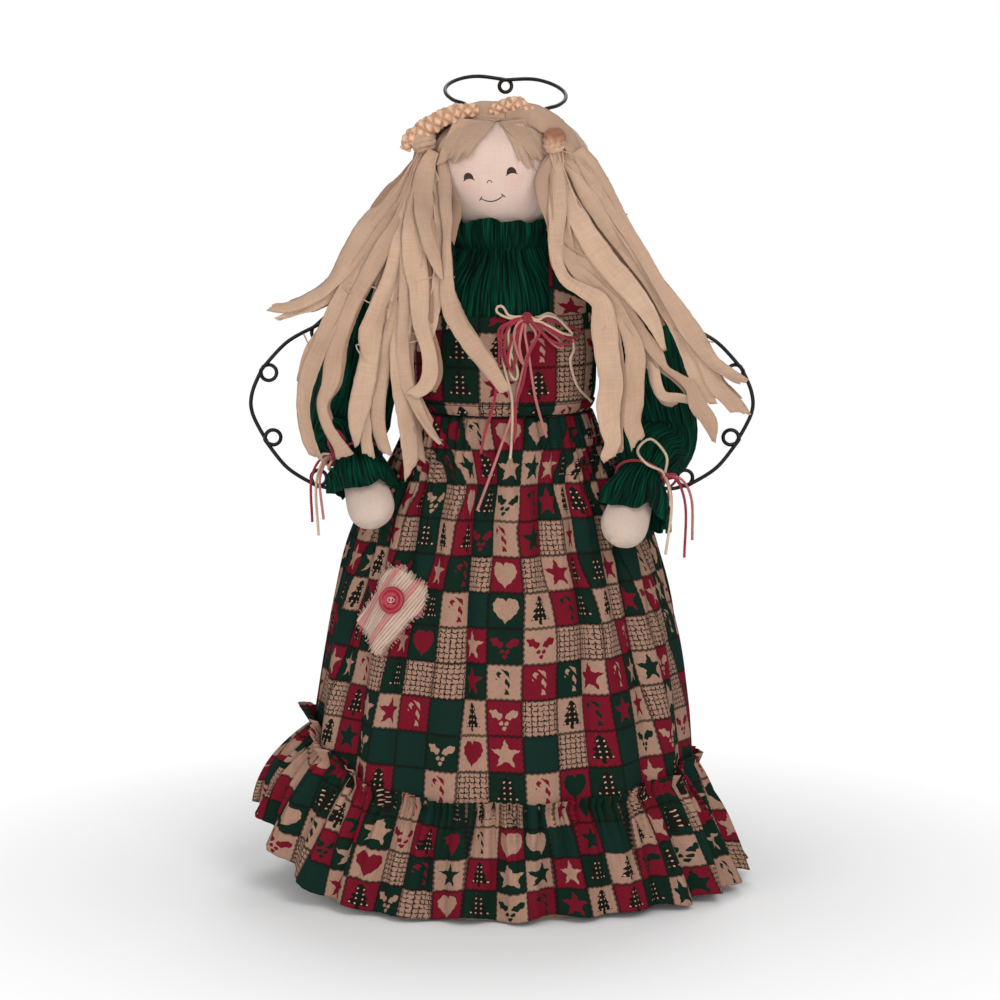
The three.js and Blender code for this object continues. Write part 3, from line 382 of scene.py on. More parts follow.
class Paint:
    """A material made of nodes over the cloth's own coordinates, in millimetres."""

    def __init__(self, name, roughness, **sockets):
        self.material = bpy.data.materials.new(name)
        self.material.use_nodes = True
        self.nodes = self.material.node_tree.nodes
        self.links = self.material.node_tree.links
        self.shader = self.nodes["Principled BSDF"]
        self.shader.inputs["Roughness"].default_value = roughness
        for key, value in sockets.items():
            self.shader.inputs[key.replace("_", " ")].default_value = value
        self.map = self.nodes.new("ShaderNodeUVMap")
        self.map.uv_map = "cloth"
        split = self.nodes.new("ShaderNodeSeparateXYZ")
        self.links.new(self.map.outputs[0], split.inputs[0])
        self.u, self.v = (Value(self.nodes, split.outputs[k]) for k in range(2))

    def vector(self, x, y):
        node = self.nodes.new("ShaderNodeCombineXYZ")
        for k, item in enumerate((x, y)):
            self.links.new(item.socket, node.inputs[k])
        return node.outputs[0]

    def grain(self, wide, long, detail=2.0):
        """Noise from 0 to 1 with blotches of that size in millimetres."""
        node = self.nodes.new("ShaderNodeTexNoise")
        node.noise_dimensions = "2D"
        node.inputs["Scale"].default_value = 1.0
        node.inputs["Detail"].default_value = detail
        self.links.new(self.vector(self.u / wide, self.v / long), node.inputs["Vector"])
        return Value(self.nodes, node.outputs[0])

    def chance(self, x, y):
        """A number from 0 to 1 for each pair of whole numbers."""
        node = self.nodes.new("ShaderNodeTexWhiteNoise")
        node.noise_dimensions = "2D"
        self.links.new(self.vector(x, y), node.inputs["Vector"])
        return Value(self.nodes, node.outputs["Value"])

    def mix(self, under, over, share, kind="MIX"):
        node = self.nodes.new("ShaderNodeMix")
        node.data_type = "RGBA"
        node.blend_type = kind
        for socket, item in zip((node.inputs[6], node.inputs[7]), (under, over)):
            if isinstance(item, list):
                socket.default_value = item
            else:
                self.links.new(item, socket)
        if isinstance(share, Value):
            self.links.new(share.socket, node.inputs[0])
        else:
            node.inputs[0].default_value = share
        return node.outputs[2]

    def colour(self, socket):
        self.links.new(socket, self.shader.inputs["Base Color"])

    def bump(self, height, distance, strength=1.0):
        node = self.nodes.new("ShaderNodeBump")
        node.inputs["Strength"].default_value = strength
        node.inputs["Distance"].default_value = distance * MM
        self.links.new(height.socket, node.inputs["Height"])
        self.links.new(node.outputs[0], self.shader.inputs["Normal"])

    def weave(self, pitch):
        """Over and under threads of a plain weave, from 0 to 1."""
        turn = math.tau / pitch
        across = (self.u * turn).op("SINE")
        down = (self.v * turn).op("SINE")
        return (across * down) * 0.5 + 0.5


BLACK = linear(20, 17, 16)
RED, GREEN, TAN = linear(114, 20, 37), linear(13, 39, 29), linear(166, 130, 111)
CELL = 19.6
STRIP_APART = 31.7


def muslin(name, base, deep, fade=0.5, strip_tone_and_shade=None):
    """Unbleached cotton with slubs in both threads. The last colour darkens each strip of hair by a random
    amount, and strips that lie behind others, whose u is below 0, still more, as painted shade.
    """
    p = Paint(name, 0.95, Sheen_Weight=0.15, Sheen_Roughness=0.6)
    slubs = p.grain(0.7, 14) * 0.5 + p.grain(14, 0.7) * 0.5
    worn = p.grain(22, 30, 3)
    tone = p.mix(deep, base, slubs * 0.7 + worn * fade)
    if strip_tone_and_shade:
        # Each strip gets a random darker tone; strips behind the others (u below 0) also get painted shade
        strip = (p.u / STRIP_APART + 0.5).op("FLOOR")
        tone = p.mix(tone, strip_tone_and_shade, p.chance(strip, strip * 0.37) * 0.28 + (strip < 0) * 0.4)
    p.colour(tone)
    p.bump(p.weave(0.62) * 0.6 + slubs * 0.8 + p.grain(3, 9) * 1.2, 0.25)
    return p


def crinkled(name, base, light):
    """Thin cotton set in fine pleats that run down the cloth, with painted highlights along the pleats'
    ridges.
    """
    p = Paint(name, 0.8, Specular_IOR_Level=0.08)
    ridges_and_highlights = p.grain(1.1, 26, 3)
    # The lighter green along the pleat ridges is painted highlight; the same noise raises the ridges' bump
    p.colour(p.mix(base, light, (ridges_and_highlights - 0.38) * 2.2))
    p.bump(ridges_and_highlights * 1.4 + p.weave(0.5) * 0.25, 0.9)
    return p.material


def motif_mask(a, b, kind):
    """Where the printed figures are in a square from -1 to 1, by the square's kind from 0 to 1."""
    fifth = math.tau / 5
    far = a.hypot(b)
    turn = abs((a.op("ARCTAN2", b) + fifth / 2).op("FLOORED_MODULO", fifth) - fifth / 2)
    star = (far * turn.op("SINE")) * -0.513 - (far * turn.op("COSINE") - 0.86) * 0.194 > 0
    down = (b * -1 + 0.8) * 0.75
    tier = (down * 3).op("FLOOR")
    boughs = (abs(a) < tier * 0.13 + (down * 3).op("FRACT") * 0.3 + 0.08) * down.near(0.5, 0.5)
    lights = ((a * 3).tri().hypot((b * 3.3).tri()) < 0.17) * boughs
    tree = boughs * (lights * -1 + 1) + a.near(0, 0.11) * down.near(1.09, 0.09)
    hook = (a + 0.08).hypot(b - 0.3).near(0.28, 0.13) * (b > 0.3)
    cane = hook + a.near(0.2, 0.13) * b.near(-0.2, 0.5) + a.near(-0.36, 0.13) * b.near(0.2, 0.1)
    cane = (cane > 0) * (((a + b) * 11).op("SINE") > -0.25)
    lobe = (b + 0.14 - abs(a).op("SQRT") * 0.5) / 0.62
    heart = (a / 0.72).hypot(lobe) < 1
    tip_x, tip_y = abs(a) - 0.45, b - 0.2
    leaf_x, leaf_y = tip_x * 0.86 + tip_y * 0.5, tip_y * 0.86 - tip_x * 0.5
    scallop = (leaf_x * 16).op("SINE") * 0.03 + 0.2
    leaves = (leaf_x / 0.4).hypot(leaf_y / scallop) < 1
    berries = (abs(a) - 0.15).hypot(b + 0.3) < 0.12
    holly = leaves + berries + (a.hypot(b + 0.56) < 0.12) > 0
    shapes = [star, tree, cane, heart, holly]
    ends = [0.26, 0.48, 0.58, 0.66, 0.78]
    total = None
    low = -1.0
    for shape, high in zip(shapes, ends):
        share = shape * kind.near((low + high) / 2, (high - low) / 2)
        total = share if total is None else total + share
        low = high
    is_tree = kind.near((ends[0] + ends[1]) / 2, (ends[1] - ends[0]) / 2)
    return total, tree * is_tree, lights * is_tree


def woven_mask(p, a, b):
    """Rough dark threads that cross in a square from -1 to 1."""
    rough = p.grain(1.1, 0.5) * 0.34 - 0.04
    across = ((b * 3.5).tri() < rough) * (p.grain(1.6, 0.8) > 0.42)
    down = ((a * 3.0).tri() < rough) * (p.grain(0.8, 1.6) > 0.44)
    return across + down > 0


def printed(name):
    """Cotton printed with pinked patchwork squares, each with a plain winter figure."""
    p = Paint(name, 0.93, Specular_IOR_Level=0.06)
    x = p.u / CELL + (p.v / CELL * 6).tri() * 0.06
    y = p.v / CELL + (p.u / CELL * 6).tri() * 0.06
    i, j = x.op("FLOOR"), y.op("FLOOR")
    a, b = (x - i - 0.5) * 2, (y - j - 0.5) * 2
    kind = p.chance(i, j)
    ground = (i + j * 2 + (j / 3).op("FLOOR")).op("FLOORED_MODULO", 3)
    other = (ground + 1 + (p.chance(j + 41, i) > 0.5)).op("FLOORED_MODULO", 3)

    def dye(index):
        return p.mix(p.mix(RED, GREEN, index.near(1, 0.5)), TAN, index.near(2, 0.5))

    figures, trees, lights = motif_mask(a, b, kind)
    cloth_colour = p.mix(dye(ground), dye(other), figures)
    cloth_colour = p.mix(p.mix(cloth_colour, linear(22, 24, 20), trees), linear(200, 160, 134), lights)
    woven = kind.near(0.84, 0.06)
    cloth_colour = p.mix(cloth_colour, p.mix(TAN, linear(30, 26, 24), woven_mask(p, a, b)), woven)
    lined = p.mix(linear(10, 34, 30), linear(22, 54, 44), (p.v * 1.1).tri() * 1.6)
    cloth_colour = p.mix(cloth_colour, lined, kind > 0.9)
    edge = abs(a).op("MAXIMUM", abs(b)) > 0.92
    cloth_colour = p.mix(cloth_colour, BLACK, edge * 0.75)
    threads = p.grain(0.45, 5) * 0.5 + p.grain(5, 0.45) * 0.5
    speck = (threads - 0.42) * 0.9
    cloth_colour = p.mix(cloth_colour, linear(36, 24, 22), speck)
    p.colour(cloth_colour)
    p.bump(p.weave(0.55) * 0.5 + threads * 0.8 + p.grain(5, 14) * 2, 0.3)
    return p.material


def striped(name):
    """Cream cotton with thin woven stripes."""
    p = Paint(name, 0.95, Sheen_Weight=0.1)
    warp = p.grain(0.5, 9)
    base = p.mix(linear(190, 156, 134), linear(226, 200, 180), warp * 0.8 + p.grain(9, 0.5) * 0.4)
    broken = p.grain(1.2, 5) * 1.5 - 0.1
    base = p.mix(base, linear(204, 124, 120), ((p.u + 3) / 13).tri().op("LESS_THAN", 0.16) * 0.8)
    base = p.mix(base, linear(160, 50, 62), ((p.u / 3.4).tri() < 0.07) * broken)
    p.colour(p.mix(base, linear(116, 104, 82), ((p.u / 3.4 + 0.5).tri() < 0.06) * broken))
    p.bump(p.weave(0.7) * 0.8 + warp + p.grain(2.5, 16) * 3, 0.45)
    return p.material


def twisted(name, base, deep):
    """Cotton plaited into a roll, darker in its grooves as painted shade: u and v count the strips that wind
    each way.
    """
    p = Paint(name, 0.95, Sheen_Weight=0.1)
    groove = p.u.tri().op("MAXIMUM", p.v.tri()) * -2 + 1
    fibres = p.grain(0.3, 0.3, 3)
    # The deep colour in the grooves between the strips is painted shade
    p.colour(p.mix(deep, base, groove * 1.2 + (fibres - 0.4) * 0.9))
    p.bump(groove * 1.2 + fibres, 0.5)
    return p.material


def shaded(name):
    """Wound cotton whose top lies in the shade of the strips over it: v runs down."""
    p = muslin(name, linear(212, 180, 152), linear(170, 132, 104))
    low = (p.v - 4) / 7 + (p.grain(2, 9) - 0.5) * 1.2
    p.colour(p.mix(linear(148, 92, 60), linear(204, 166, 136), low))
    return p.material


def faced(name):
    """The head's cotton with a drawn face: u runs round the head from its front, v is the height."""
    p = muslin(name, linear(226, 200, 186), linear(200, 170, 156), 0.35)
    lean = 0.145
    rise = p.v - 402.7
    over = p.u + 6.75
    x = over * math.cos(lean) + rise * math.sin(lean)
    y = rise * math.cos(lean) - over * math.sin(lean)
    ink = linear(44, 22, 15)
    beside = abs(x) - 11.9
    eye = ((beside / 2.7).hypot((y + 1.3) / 3.3) < 1) * (y > (beside * beside) * -0.09 - 1.0)
    lash = (abs(y + 1.15 + (beside * beside) * 0.12) < 0.32) * (abs(beside) < 3.2)
    nose = ((x + 0.8).hypot(y + 4.9).near(1.25, 0.25)) * (y > -5.0)
    mouth_x = x + 1.0
    mouth = abs(y + 15.2 - (mouth_x * mouth_x) * 0.052) < 0.36
    mouth = mouth * (abs(mouth_x) < 6.8)
    tick_x = abs(mouth_x) - 6.7
    ticks = (abs(y + 12.9 - tick_x * -0.9) < 0.4) * (abs(tick_x) < 1.1)
    lines = ((eye + lash + nose + mouth + ticks) > 0) * p.v.near(398, 30)
    cheek = ((abs(x + 0.2) - 12.6).hypot(y + 5.6) / 6.5) * -1 + 1
    blush = cheek.op("MAXIMUM", 0.0) * 0.22
    cloth_colour = p.shader.inputs["Base Color"].links[0].from_socket
    cloth_colour = p.mix(cloth_colour, linear(226, 150, 144), blush)
    p.colour(p.mix(cloth_colour, ink, lines))
    return p.material


# The body's cotton is the head's made darker: painted shade for the arms and hands, which lie lower and in
# less light than the face
SKIN = muslin("skin_cloth", linear(208, 186, 171), linear(178, 154, 139), 0.4).material
FACE = faced("face_cloth")
# The hair's last colour gives single strips a random darker tone and is the painted shade of the strips that
# lie behind
HAIR = muslin("torn_muslin", linear(210, 178, 152), linear(162, 126, 100), 0.45, linear(116, 72, 48)).material
SHADED = shaded("shaded_muslin")
BRAID = twisted("rolled_muslin", linear(216, 182, 152), linear(176, 124, 92))
# The second colour is the painted highlight on the crinkled pleats
COTTON = crinkled("green_cotton", linear(0, 16, 10), linear(2, 86, 62))
PRINT = printed("patchwork_print")
STRIPE = striped("striped_cotton")

# Body: padded pieces over the stuffing

CROWN_DROP, SETTLE_Z = 4.5, 414
CHEEKS = [(0, 0), (0.1, 0.08), (0.2, 0.42), (0.3, 0.74), (0.42, 0.94), (0.55, 1)]


def oval_rings(at, z, sides):
    turn = np.linspace(0, math.tau, sides, endpoint=False) - math.pi
    return around(at(z[:, None]), turn[None], z[:, None])


def face_at(z):
    """The head's halves in front, where its stuffing has sunk into the collar."""
    t = (z - HEAD_Z) / HEAD_HEIGHT
    full, crown = smooth(CHEEKS, t), smooth(CROWN_SHAPE, t)
    return [crown * lerp(n, h, full) for n, h in zip(NECK_HALVES, HEAD_HALVES)]


def settle(points):
    """The crown as it sits pressed down under the hair."""
    drop = CROWN_DROP * step(SETTLE_Z, CROWN_Z, points[..., 2])
    return points - drop[..., None] * np.array([0, 0, 1.0])


def head():
    z = HEAD_Z + HEAD_HEIGHT * np.sin(np.linspace(0, math.pi / 2, 60))
    front = step(-0.2, 0.5, np.cos(np.linspace(-math.pi, math.pi, 96, endpoint=False)))[None, :, None]
    rings = settle(lerp(oval_rings(head_at, z, 96), oval_rings(face_at, z, 96), front))
    turn = np.linspace(-math.pi, math.pi, 97)
    past = np.maximum(np.abs(turn) - math.pi / 2, 0)
    u = np.sign(turn) * HEAD_HALVES[0] * (np.sin(np.minimum(np.abs(turn), math.pi / 2)) + past)
    obj = capped("head", rings, FACE, "doll", np.stack(np.meshgrid(u, z), -1))
    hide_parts("head_skin", "head_stuffing")


def torso():
    z = np.linspace(TORSO_Z, NECK_Z, 30)
    obj = capped("torso", oval_rings(torso_at, z, 64), SKIN, "doll")
    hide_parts("torso_skin", "torso_stuffing")


head()
torso()

# Blouse

# Radii that lay out the cloth's own coordinates, and the crinkled cotton's pitch
CHEST_RADIUS, NECK_RADIUS, WAIST_RADIUS = 46, 40, 47
PLEAT = 4.2


def pleats(s, t, pitch, seed):
    """Irregular ridges that run along t, from -1 to 1."""
    wander = 0.7 * noise(s / 17, t / 26, seed) + 0.35 * noise(s / 6, t / 14, seed + 1)
    ridge = np.sin(math.tau * (s / pitch + wander))
    return (ridge - 0.35 * np.abs(ridge)) * (0.65 + 0.35 * noise(s / 9, t / 18, seed + 2))


def bodice():
    turn = np.linspace(-math.pi, math.pi, 521)[None]
    z = np.linspace(TORSO_Z, NECK_Z + LAYER_GAP / 2, 90)[:, None]
    s = turn * CHEST_RADIUS
    drawn = step(NECK_Z - 30, NECK_Z, z)
    out = BLOUSE_OUT + 0.55 + (0.75 + 0.9 * drawn) * pleats(s, z, PLEAT, 3)
    out = out + 1.6 * step(BIB_TOP_Z, BIB_TOP_Z + 16, z) * (0.6 + noise(s / 20, z / 18, 5))
    points = around(blouse_at(z), turn, z, out)
    uv = together(s, z)
    obj = cloth("blouse", points, COTTON, "doll", uv, ring=True)
    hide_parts("blouse_bodice")


def frill():
    turn = np.linspace(-math.pi, math.pi, 481)[None]
    v = np.linspace(0, 1, 40)[:, None]
    s = turn * NECK_RADIUS
    wave = np.sin(FRILL_WAVES * turn + 1.6 * noise(s / 12, 0, 8)) * (0.8 + 0.4 * noise(s / 15, 0, 7))
    lip = 1.4 * noise(s / 5, 0, 12) + 2.2 * noise(s / 17, 0, 9)
    z = NECK_Z - 2.5 + (17 + lip) * v
    full = 4.6 * np.sin(np.clip(v, 0, 1) * 2.2) - 1.6 * np.exp(-((v / 0.1) ** 2))
    out = BLOUSE_OUT + 1.4 + full + 3.0 * v**1.3 * wave + 0.55 * pleats(s, z, PLEAT, 11)
    points = around(blouse_at(NECK_Z), turn, z, out)
    obj = cloth("frill", points, COTTON, "doll", together(s, z), ring=True)
    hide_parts("neck_frill")


bodice()
frill()

# Arms and sleeves

SHOULDER_Z = NECK_Z - SHOULDER_DROP
SHOULDER_X = float(blouse_at(SHOULDER_Z)[0]) + BLOUSE_OUT + CLOTH / 2 + FIT + SLEEVE_RADIUS
TIE_OUT = WRIST_RADIUS + LAYER_GAP + CLOTH / 2
POSES = {
    "left": {"elbow": 61, "palm": 101, "palm_out": -2, "wrist": 0.42},
    "right": {"elbow": 65, "palm": 110, "palm_out": -7, "wrist": 0.5},
}


def arm_places(side, pose):
    """Shoulder, elbow, wrist, palm and finger tip of an arm that rests on the skirt."""
    elbow_z, palm_z = SHOULDER_Z - pose["elbow"], SHOULDER_Z - pose["palm"]
    room = float(skirt_at(elbow_z)[0]) + SKIRT_FOLD_DEPTH + CLOTH + SLEEVE_RADIUS
    palm_x = SHOULDER_X + pose["palm_out"]
    palm_y = float(front_of(skirt_at(palm_z), palm_x - PALM_RADIUS, SKIRT_FOLD_DEPTH + CLOTH)) - PALM_RADIUS
    shoulder = np.array([side * SHOULDER_X, 0, SHOULDER_Z])
    elbow = np.array([side * max(SHOULDER_X + ELBOW_OUT, room), -ELBOW_FORWARD, elbow_z])
    palm = np.array([side * palm_x, palm_y, palm_z])
    wrist = lerp(elbow, palm, pose["wrist"])
    return shoulder, elbow, wrist, palm, palm + unit(palm - wrist) * PALM_RADIUS


def stack(stations, per):
    """Fine rings through (place, radius, flatness, plumb) stations: centres, two ways across, radii."""
    line = route([row[0] for row in stations], per)
    at = np.linspace(0, len(stations) - 1, len(line))
    radius, flat, plumb = (
        smooth([(k, row[n]) for k, row in enumerate(stations)], at)[:, None, None] for n in (1, 2, 3)
    )
    ahead = unit(lerp(along(line), np.array([0, 0, -1.0]), plumb[:, :, 0]))
    across = unit(np.cross(ahead, [0, 1, 0]))
    return line[:, None], across[:, None], np.cross(across, ahead)[:, None], radius, flat


def limb(name, side, pose):
    shoulder, elbow, wrist, palm, tip = arm_places(side, pose)
    up = np.array([0, 0, 1.0])
    rows = [
        (shoulder + up * (SLEEVE_RADIUS - 2 * CLOTH - FIT), WRIST_RADIUS * 0.5, 1, 0),
        (shoulder + up * SLEEVE_RADIUS * 0.6, WRIST_RADIUS, 1, 0),
        (shoulder, WRIST_RADIUS * 1.1, 1, 0),
        (lerp(shoulder, elbow, 0.4), WRIST_RADIUS * 1.2, 1, 0),
        (elbow, WRIST_RADIUS * 1.1, 1, 0),
        (wrist, WRIST_RADIUS, 1, 0),
        (lerp(wrist, palm, 0.5), PALM_RADIUS * 0.88, lerp(1, HAND_FLATNESS, 0.5), 0),
        (palm, PALM_RADIUS, HAND_FLATNESS, 0),
        (lerp(palm, tip, 0.65), PALM_RADIUS * 0.78, HAND_FLATNESS, 0),
        (tip, PALM_RADIUS * 0.35, HAND_FLATNESS, 0),
    ]
    centre, across, front, radius, flat = stack(rows, 8)
    turn = np.linspace(0, math.tau, 48, endpoint=False)[None, :, None]
    seam = 1 - 0.05 * np.exp(-((np.abs(np.cos(turn)) - 1) / 0.004) ** 2)
    rings = centre + across * radius * np.cos(turn) * seam + front * radius * flat * np.sin(turn) * seam
    obj = capped(f"arm_{name}", rings, SKIN, f"arm_{name}")
    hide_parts(f"arm_{name}_skin", f"arm_{name}_stuffing")


# How far each cuff hangs down on its outer side
CUFF_HANG = {"left": 4, "right": 12}


def sleeve(name, side, pose):
    shoulder, elbow, wrist, palm, _ = arm_places(side, pose)
    puff = SLEEVE_RADIUS - CLOTH / 2
    dome = [
        (shoulder + np.array([0, 0, puff * math.sin(t)]), puff * math.cos(t), 1, 0) for t in (1.56, 1, 0.45)
    ]
    rows = dome + [
        (shoulder, puff, 1, 0),
        (lerp(shoulder, elbow, 0.4), puff, 1, 0),
        (elbow, puff, 1, 0),
        (lerp(elbow, wrist, 0.55), lerp(puff, TIE_OUT, 0.4), 1, 0),
        (wrist, TIE_OUT, 1, 0),
        (lerp(wrist, palm, 0.3), TIE_OUT + CUFF_FLARE * 0.7, 1, 0.7),
        (lerp(wrist, palm, 0.6), TIE_OUT + CUFF_FLARE, 1, 0.7),
    ]
    per = 9
    centre, across, front, radius, _ = stack(rows, per)
    turn = np.linspace(0, math.tau, 289)[None, :, None]
    v = np.arange(len(centre))[:, None, None] / per
    s, t = turn * SLEEVE_RADIUS, v * 18.0
    seed = 20 + side
    closed_in = np.exp(-(((v - 7) / 0.7) ** 2))
    crush = 1.7 * noise(s / 26, t / 20, seed) * step(3.5, 5, v) * (1 - closed_in)
    cuff = step(7.2, 9, v)
    ruffles = 2.2 * cuff * np.sin(9 * turn + 2 * noise(turn * 3, 0, seed))
    inner = step(0, 1, -side * np.cos(turn))
    folds = 0.5 + (0.75 + 0.9 * closed_in) * pleats(s, t, PLEAT, seed) + crush + ruffles
    size = radius + step(0, 1, v) * folds
    size = size - 0.25 * CUFF_FLARE * cuff * inner
    points = centre + across * size * np.cos(turn) + front * size * np.sin(turn)
    hang = CUFF_HANG[name] * step(0, 1, np.cos(turn - (0.3 if side > 0 else math.pi - 0.3)))
    points = points + np.array([0, 0, 1.0]) * cuff * (2.6 * noise(turn * 2.5, 0, seed + 5) - hang)
    far = lengths(centre[:, 0])[:, None]
    uv = together(s[..., 0], -far)
    obj = cloth(f"sleeve_cloth_{name}", points, COTTON, f"arm_{name}", uv, ring=True)
    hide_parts(f"sleeve_{name}")


for hand, way in SIDES.items():
    limb(hand, way, POSES[hand])
    sleeve(hand, way, POSES[hand])

# Jumper

# The print's place on the cloth, and a strap's length
PRINT_ACROSS, PRINT_DOWN, STRAP_LONG = 11, 3, 118


def bib(name, middle, seed):
    a = np.linspace(-BIB_HALF_ANGLE, BIB_HALF_ANGLE, 121)[None]
    v = np.linspace(0, 1, 50)[:, None]
    z = lerp(BIB_Z, BIB_TOP_Z, v)
    s = a * WAIST_RADIUS
    out = JUMPER_OUT + 0.5 * noise(s / 16, z / 20, seed) + 0.5 * np.exp(-(((v - 0.93) / 0.05) ** 2))
    points = around(blouse_at(z), a + middle, z, out)
    uv = together(s + PRINT_ACROSS, z - PRINT_DOWN)
    obj = cloth(f"bib_cloth_{name}", points, PRINT, "doll", uv, thick=0.7)
    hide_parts(f"bib_{name}")


def shoulder_top(x, y, out):
    low, high = np.full(x.shape, BIB_TOP_Z), np.full(x.shape, NECK_Z)
    for _ in range(30):
        z = (low + high) / 2
        halves = blouse_at(z)
        inside = np.hypot(x / (halves[0] + out), y / (halves[1] + out)) < 1
        low, high = np.where(inside, z, low), np.where(inside, high, z)
    return low


def strap(name, side):
    u = np.linspace(0, 1, 21)[None]
    v = np.linspace(0, 1, 90)[:, None]
    x = STRAP_X + (u - 0.5) * STRAP_WIDTH + 0 * v
    out = JUMPER_OUT + STRAP_EASE
    y = front_of(blouse_at(BIB_TOP_Z), x, out) * np.cos(math.pi * v)
    z = shoulder_top(x, y, out) + FIT + 0.5 * np.abs(2 * u - 1) ** 6
    points = np.stack([side * x, y, z], -1)
    uv = together(side * x + PRINT_ACROSS, v * STRAP_LONG)
    obj = cloth(f"strap_cloth_{name}", points, PRINT, "doll", uv, thick=0.9)
    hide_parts(f"strap_{name}")


def waistband():
    turn = np.linspace(-math.pi, math.pi, 361)[None]
    v = np.linspace(0, 1, 14)[:, None]
    z = lerp(WAIST_Z, WAIST_Z + BAND_HEIGHT, v)
    crimp = 0.35 * np.sin(turn * 70 + 3 * noise(turn * 9, 0, 2)) * (1 - v)
    out = JUMPER_OUT + 0.3 * np.sin(math.pi * v) + crimp
    points = around(blouse_at(z), turn, z, out)
    uv = together(turn * WAIST_RADIUS + PRINT_ACROSS, z - PRINT_DOWN)
    obj = cloth("waistband_cloth", points, PRINT, "doll", uv, ring=True, thick=0.8)
    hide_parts("waistband")


HALF_TURN = math.pi / 2 - FIT / SKIRT_HEM[1]
SKIRT_CLOTH, RUFFLE_CLOTH = 342.0, 470.0
TUCKS = {
    "front": [
        (-19, 4.6, 230), (-3, 3.4, 100), (24, 3.6, 120), (53, 4.2, 230), (-44, 3, 130), (-68, 3.4, 230),
        (78, 3, 170), (98, 3.4, 230), (122, 3, 230), (-96, 3.2, 230), (-122, 3, 230),
        (10, 2.4, 60), (38, 2.4, 60),
    ],
    "back": [
        (-95, 3, 230), (-60, 4, 230), (-25, 3, 130), (8, 4, 230), (36, 3, 120), (70, 4, 230),
        (104, 3, 230),
    ],
}


def skirt(name, middle, seed):
    half = SKIRT_CLOTH / 2
    s = np.linspace(-half, half, 343)
    v = np.linspace(0, 1, 111)
    fine = np.linspace(-HALF_TURN, HALF_TURN, 301)
    angle, full = np.zeros((len(v), len(s))), np.zeros((len(v), len(s)))
    for r, share in enumerate(v):
        level = lerp(SKIRT_TOP_Z, seam_z(fine + middle), share)
        arc = lengths(around(skirt_at(level), fine, level))
        arc = arc - arc[150]
        reach = np.abs(arc) / arc[-1]
        spare = max(half - arc[-1], 0)
        taken = arc + np.sign(arc) * spare * reach**3
        angle[r] = np.interp(s, taken * half / taken[-1], fine)
        full[r] = np.interp(s, taken * half / taken[-1], 3 * spare / arc[-1] * reach**2)
    turn = angle + middle
    z = lerp(SKIRT_TOP_Z, seam_z(turn), v[:, None])
    fallen = SKIRT_TOP_Z - z
    drape = skirt_fold(turn, z) * (0.8 + 0.35 * noise(s / 60, z / 90, seed))
    gather = (2.0 * np.exp(-fallen / 34) + np.minimum(0.9 * full, 2.2)) * pleats(s, z * 0.4, 9.5, seed + 1)
    soft = 1.3 * noise(s / 34, z / 60, seed + 2) + 0.5 * noise(s / 13, z / 24, seed + 3)
    out = drape + gather + soft * step(0, 40, fallen)
    taken_in = 0 * z
    fades = 1 - 0.5 * step(60, 200, fallen)
    for place, depth, long in TUCKS[name]:
        line = place * (0.8 + 0.2 * fallen / 200) + 3 * noise(z / 50, 0, place)
        here = step(2, 40, fallen) * (1 - step(0.55 * long, long, fallen))
        out = out - depth * np.exp(-(((s - line) / 5) ** 2)) * here
        taken_in = taken_in + 1.5 * depth * here * np.tanh((s - line) / 2.2) * fades
    points = around(skirt_at(z), turn, z, out)
    plain = around(skirt_at(z), turn, z)
    slant = np.cumsum(np.linalg.norm(np.diff(plain, axis=0, prepend=plain[:1]), axis=2), axis=0)
    uv = together(s + 6 + taken_in, -slant)
    obj = cloth(f"skirt_cloth_{name}", points, PRINT, "doll", uv)
    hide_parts(f"skirt_{name}")


def ruffle(name, middle, seed):
    s = np.linspace(-RUFFLE_CLOTH / 2, RUFFLE_CLOTH / 2, 471)[None]
    header = 0.09
    v = np.concatenate([np.linspace(-header, 0, 7)[:-1], np.linspace(0, 1, 42)])[:, None]
    turn = s / (RUFFLE_CLOTH / 2) * (math.pi / 2) + middle
    low = np.clip(v, 0, 1)
    free = step(RUFFLE_CLOTH / 2, RUFFLE_CLOTH / 2 - 12, np.abs(s))
    flip = np.maximum(-np.sin(turn), 0) ** 9
    top = seam_z(turn) - LAYER_GAP + 13 * flip
    z = lerp(top, hem_z(turn) + 6 * flip, v) + 2.6 * low * (noise(s / 21, 0, seed) * free + 0.5)
    z = z + 7 * flip * np.clip(-v / header, 0, 1)
    upper, fallen = skirt_at(top), low**0.85
    oval = [lerp(upper[k], RUFFLE_HEM[k], fallen) for k in range(2)]
    wave = np.sin(RUFFLE_WAVES * turn + 1.1 * noise(s / 40, low, seed + 1))
    wave = wave * (0.85 + 0.4 * noise(s / 30, 0, seed + 2))
    gather = (2.2 * np.exp(-low * 3.4) + 0.4) * pleats(s, v * 30, 6.5, seed + 3)
    folds = np.sin(2.3 * RUFFLE_WAVES * turn + 2 * noise(s / 30, low, seed + 7))
    gather = gather + 1.8 * np.sin(math.pi * low) * folds
    raised = np.clip(-v / header, 0, 1)
    flare = 1.6 + 3.2 * raised * (0.6 + 0.6 * noise(s / 6, 0, seed + 4) * free)
    out = lerp(skirt_fold(turn, top), RUFFLE_WAVE_DEPTH * wave * free, low) + gather * free
    out = out + 5 * flip * (raised + np.sin(math.pi * low)) + np.where(v < 0.02, flare, 1.2 * (1 - low))
    points = around(oval, turn, z, out)
    drawn = 4.5 * np.exp(-low * 2.2) * np.sin(math.tau * s / 17 + 3 * noise(s / 40, 0, seed + 6))
    uv = together(s + 4 + drawn, -v * 66 + 9)
    obj = cloth(f"ruffle_cloth_{name}", points, PRINT, "doll", uv)
    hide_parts(f"ruffle_{name}")


for panel, facing in (("front", 0.0), ("back", math.pi)):
    bib(panel, facing, 31)
    skirt(panel, facing, 40 + int(facing))
    ruffle(panel, facing, 60 + int(facing))
for hand, way in SIDES.items():
    strap(hand, way)
waistband()

# Hair

